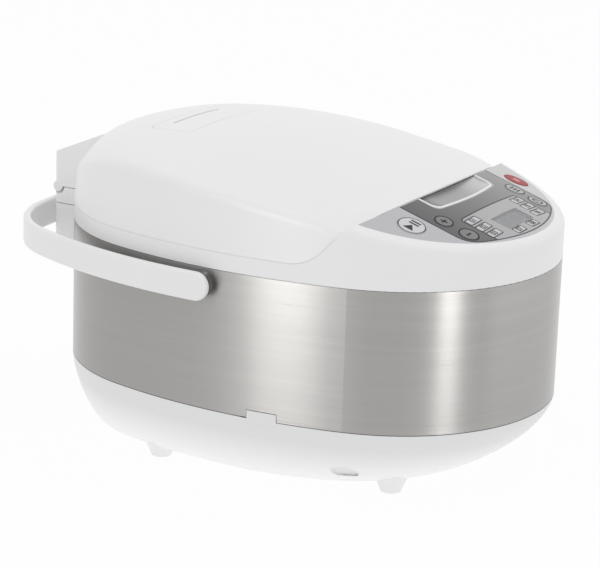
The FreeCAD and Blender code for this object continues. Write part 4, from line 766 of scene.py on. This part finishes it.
def rim_edge(node, sink, off, kept, upper=False):
    """The kept lower or upper edges of a node's outer face, sunk into it and moved off its end."""
    bm = bmesh.new()
    bm.from_mesh(nodes[node].data)
    bmesh.ops.remove_doubles(bm, verts=bm.verts[:], dist=1e-6)
    outer = {f for f in bm.faces if faces_out(f)}
    rim = [e for e in bm.edges if sum(f in outer for f in e.link_faces) == 1
           and all(kept(v.co / MM) for v in e.verts)
           and all(f in outer or (f.normal.z > FACING_UP) == upper for f in e.link_faces)]
    spots = {v: i for i, v in enumerate(dict.fromkeys(v for e in rim for v in e.verts))}
    places = []
    for vert in spots:
        out = sum((f.normal for f in vert.link_faces if f in outer), Vector()).normalized()
        end = sum((f.normal for f in vert.link_faces if f not in outer), Vector()).normalized()
        places.append(vert.co - out * sink * MM + end * off * MM)
    mesh = bpy.data.meshes.new(node + "_edge")
    mesh.from_pydata(places, [[spots[v] for v in e.verts] for e in rim], [])
    bm.free()
    return mesh


BAND_LOW, BAND_HIGH = 100.0, 160.0  # the steel band's pivot holes lie between these
SEAM_SLACK, SEAM_REAR, SEAM_RISE = 0.6, 188.0, -20.0  # the seam is level to its rise at the front
LIP_RADIUS = 0.24


def on_lid_seam(spot):
    """Whether a place is on the lid's seam, short of the hinge block."""
    level = spot.z < SEAM_Z + SEAM_SLACK and spot.y < SEAM_REAR
    return level or spot.y < SEAM_RISE


EDGE_BEAD = seam_tree()
lower_rim = rim_edge("steel_band", 0.55, 0.0, lambda spot: spot.z < BAND_LOW)
upper_rim = rim_edge("steel_band", 0.56, 0.15, lambda spot: spot.z > BAND_HIGH, upper=True)
lid_rim = rim_edge("lid_shell", 0.36, 0.25, on_lid_seam)
# painted shadow: the band's edge beads are dark to stand for the shadow in the gaps above and below
# it
grown("band_seam_shadow", lower_rim, EDGE_BEAD, "housing", "black_plastic",
      Finish=FINISHES["black_plastic"])
grown("housing_seam_shadow", upper_rim, EDGE_BEAD, "housing", "black_plastic",
      Finish=FINISHES["black_plastic"])
grown("lid_lip", lid_rim, EDGE_BEAD, "lid", "white_plastic",
      Finish=FINISHES["white_plastic"], Bead_Radius=LIP_RADIUS * MM)


# Coil spring under the temperature sensor

def coil_tree():
    """A wire coil about an upright axis."""
    tree, given, result = new_tree("wire_coil", [
        ("Start", "NodeSocketGeometry", None),
        ("Turns", "NodeSocketFloat", 5.0),
        ("Coil Radius", "NodeSocketFloat", 5.0 * MM),
        ("Wire Radius", "NodeSocketFloat", 0.6 * MM),
        ("Height", "NodeSocketFloat", 8.0 * MM),
        ("Foot", "NodeSocketVector", None),
        ("Finish", "NodeSocketMaterial", None)])
    line = wire(tree, "GeometryNodeCurveSpiral", Resolution=32, Rotations=given["Turns"],
                Height=given["Height"], Start_Radius=given["Coil Radius"],
                End_Radius=given["Coil Radius"])
    thread = rod(tree, line.outputs[0], given["Wire Radius"])
    moved = wire(tree, "GeometryNodeTransform", Geometry=thread, Translation=given["Foot"])
    tree.links.new(finished(tree, given, made_real(tree, moved.outputs[0])), result)
    return tree


WIRE = 0.6 * MM
low, high = (Vector(corner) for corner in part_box("sensor_spring"))
foot = Vector(((low.x + high.x) / 2.0, (low.y + high.y) / 2.0, low.z + WIRE))
coil = grown("sensor_coil", points_mesh([(0.0, 0.0)]), coil_tree(), "housing", "spring_wire",
             Coil_Radius=(high.x - low.x) / 2.0 - WIRE, Wire_Radius=WIRE,
             Height=high.z - low.z - 2.0 * WIRE, Foot=foot, Finish=FINISHES["spring_wire"])
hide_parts("sensor_spring")
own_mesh(coil)

# Stage, in metres: pale floor, white surroundings, soft lamps, camera at the picture's place

SKY_LIGHT, FLOOR_LIGHT = 0.775, 0.75
FLOOR_GLOW = 0.94  # share of the floor that shines of itself where it's seen
FLOOR_REACH = 8.0


def lit(tree, soft):
    """White to the camera and to reflections; a soft share of that to everything else."""
    path = tree.nodes.new("ShaderNodeLightPath").outputs
    seen = path["Is Camera Ray"]
    for other in ("Is Glossy Ray", "Is Transmission Ray"):
        seen = worked(tree, "MAXIMUM", seen, path[other])
    return wire(tree, "ShaderNodeMapRange", To_Min=soft, To_Max=1.0, Value=seen).outputs["Result"]


world = bpy.data.worlds.new("surroundings")
world.use_nodes = True
scene.world = world
sky = world.node_tree.nodes["Background"]
sky.inputs["Color"].default_value = (1.0, 1.0, 1.0, 1.0)
world.node_tree.links.new(lit(world.node_tree, SKY_LIGHT), sky.inputs["Strength"])

paper = Finish("white_paper", Base_Color=shade(244), Roughness=0.9)
glow = paper.add("ShaderNodeEmission")
glowing = worked(paper.tree, "MULTIPLY", lit(paper.tree, FLOOR_LIGHT), FLOOR_GLOW)
blend = paper.add("ShaderNodeMixShader", Fac=glowing, _1=paper.shader.outputs["BSDF"],
                  _2=glow.outputs["Emission"])
paper.tree.links.new(blend.outputs[0], paper.tree.nodes["Material Output"].inputs["Surface"])
floor_mesh = bpy.data.meshes.new("floor")
floor_mesh.from_pydata([(FLOOR_REACH * a, FLOOR_REACH * b, 0.0)
                        for a, b in ((-1, -1), (1, -1), (1, 1), (-1, 1))], [], [(0, 1, 2, 3)])
floor_mesh.materials.append(paper.material)
floor = bpy.data.objects.new("floor", floor_mesh)
scene.collection.objects.link(floor)


def lamp(name, place, aim, size, power):
    """A soft rectangular lamp."""
    data = bpy.data.lights.new(name, "AREA")
    data.shape = "RECTANGLE"
    data.size, data.size_y = size
    data.energy = power
    holder = bpy.data.objects.new(name, data)
    scene.collection.objects.link(holder)
    holder.location = place
    holder.rotation_euler = (Vector(aim) - Vector(place)).to_track_quat("-Z", "Y").to_euler()
    holder.visible_camera = False
    return holder


LAMP_AWAY, LAMP_HIGH, LAMP_LONG, LAMP_AIM = 1.7, 0.75, 1.5, 0.6


def strip(name, bearing, width, power, *lit_nodes):
    """An upright strip lamp at a bearing round the object, seen only as a streak in some nodes."""
    turn = math.radians(bearing)
    place = (LAMP_AWAY * math.cos(turn), LAMP_AWAY * math.sin(turn), LAMP_HIGH)
    receivers = bpy.data.collections.new(name)
    for lit_node in lit_nodes:
        receivers.objects.link(nodes[lit_node])
    holder = lamp(name, place, (0.0, 0.0, LAMP_AIM), (width, LAMP_LONG), power)
    holder.light_linking.receiver_collection = receivers
    holder.visible_diffuse = False


lamp("overhead", (-0.3, -0.2, 2.2), (0.0, 0.0, 0.1), (2.4, 2.4), 10.5)
strip("left_strip", 169.5, 0.52, 22.0, "steel_band")
strip("front_strip", -112.5, 0.36, 18.8, "steel_band")
strip("right_strip", -59.0, 1.7, 10.5, "steel_band")
strip("edge_glow", 169.5, 0.52, 13.0, "lid_shell", "upper_housing")

EYE = Vector((-1.59398, -0.87803, 0.64376))
HEADING, DIP, ROLL = (math.radians(angle) for angle in (-60.85, 16.04, 1.99))
LENS, PICTURE_WIDTH = 151.26, 36.0
look = Vector((-math.sin(HEADING) * math.cos(DIP), math.cos(HEADING) * math.cos(DIP),
               -math.sin(DIP)))
level = Vector((math.cos(HEADING), math.sin(HEADING), 0.0))
above = level.cross(look)
across = level * math.cos(ROLL) + above * math.sin(ROLL)
upward = above * math.cos(ROLL) - level * math.sin(ROLL)
camera = bpy.data.objects.new("camera", bpy.data.cameras.new("camera"))
camera.data.lens, camera.data.sensor_width = LENS, PICTURE_WIDTH
camera.data.clip_start, camera.data.clip_end = 0.05, 50.0
turned = Matrix((across, upward, -look)).transposed().to_4x4()
camera.matrix_world = Matrix.Translation(EYE) @ turned
scene.collection.objects.link(camera)
scene.camera = camera
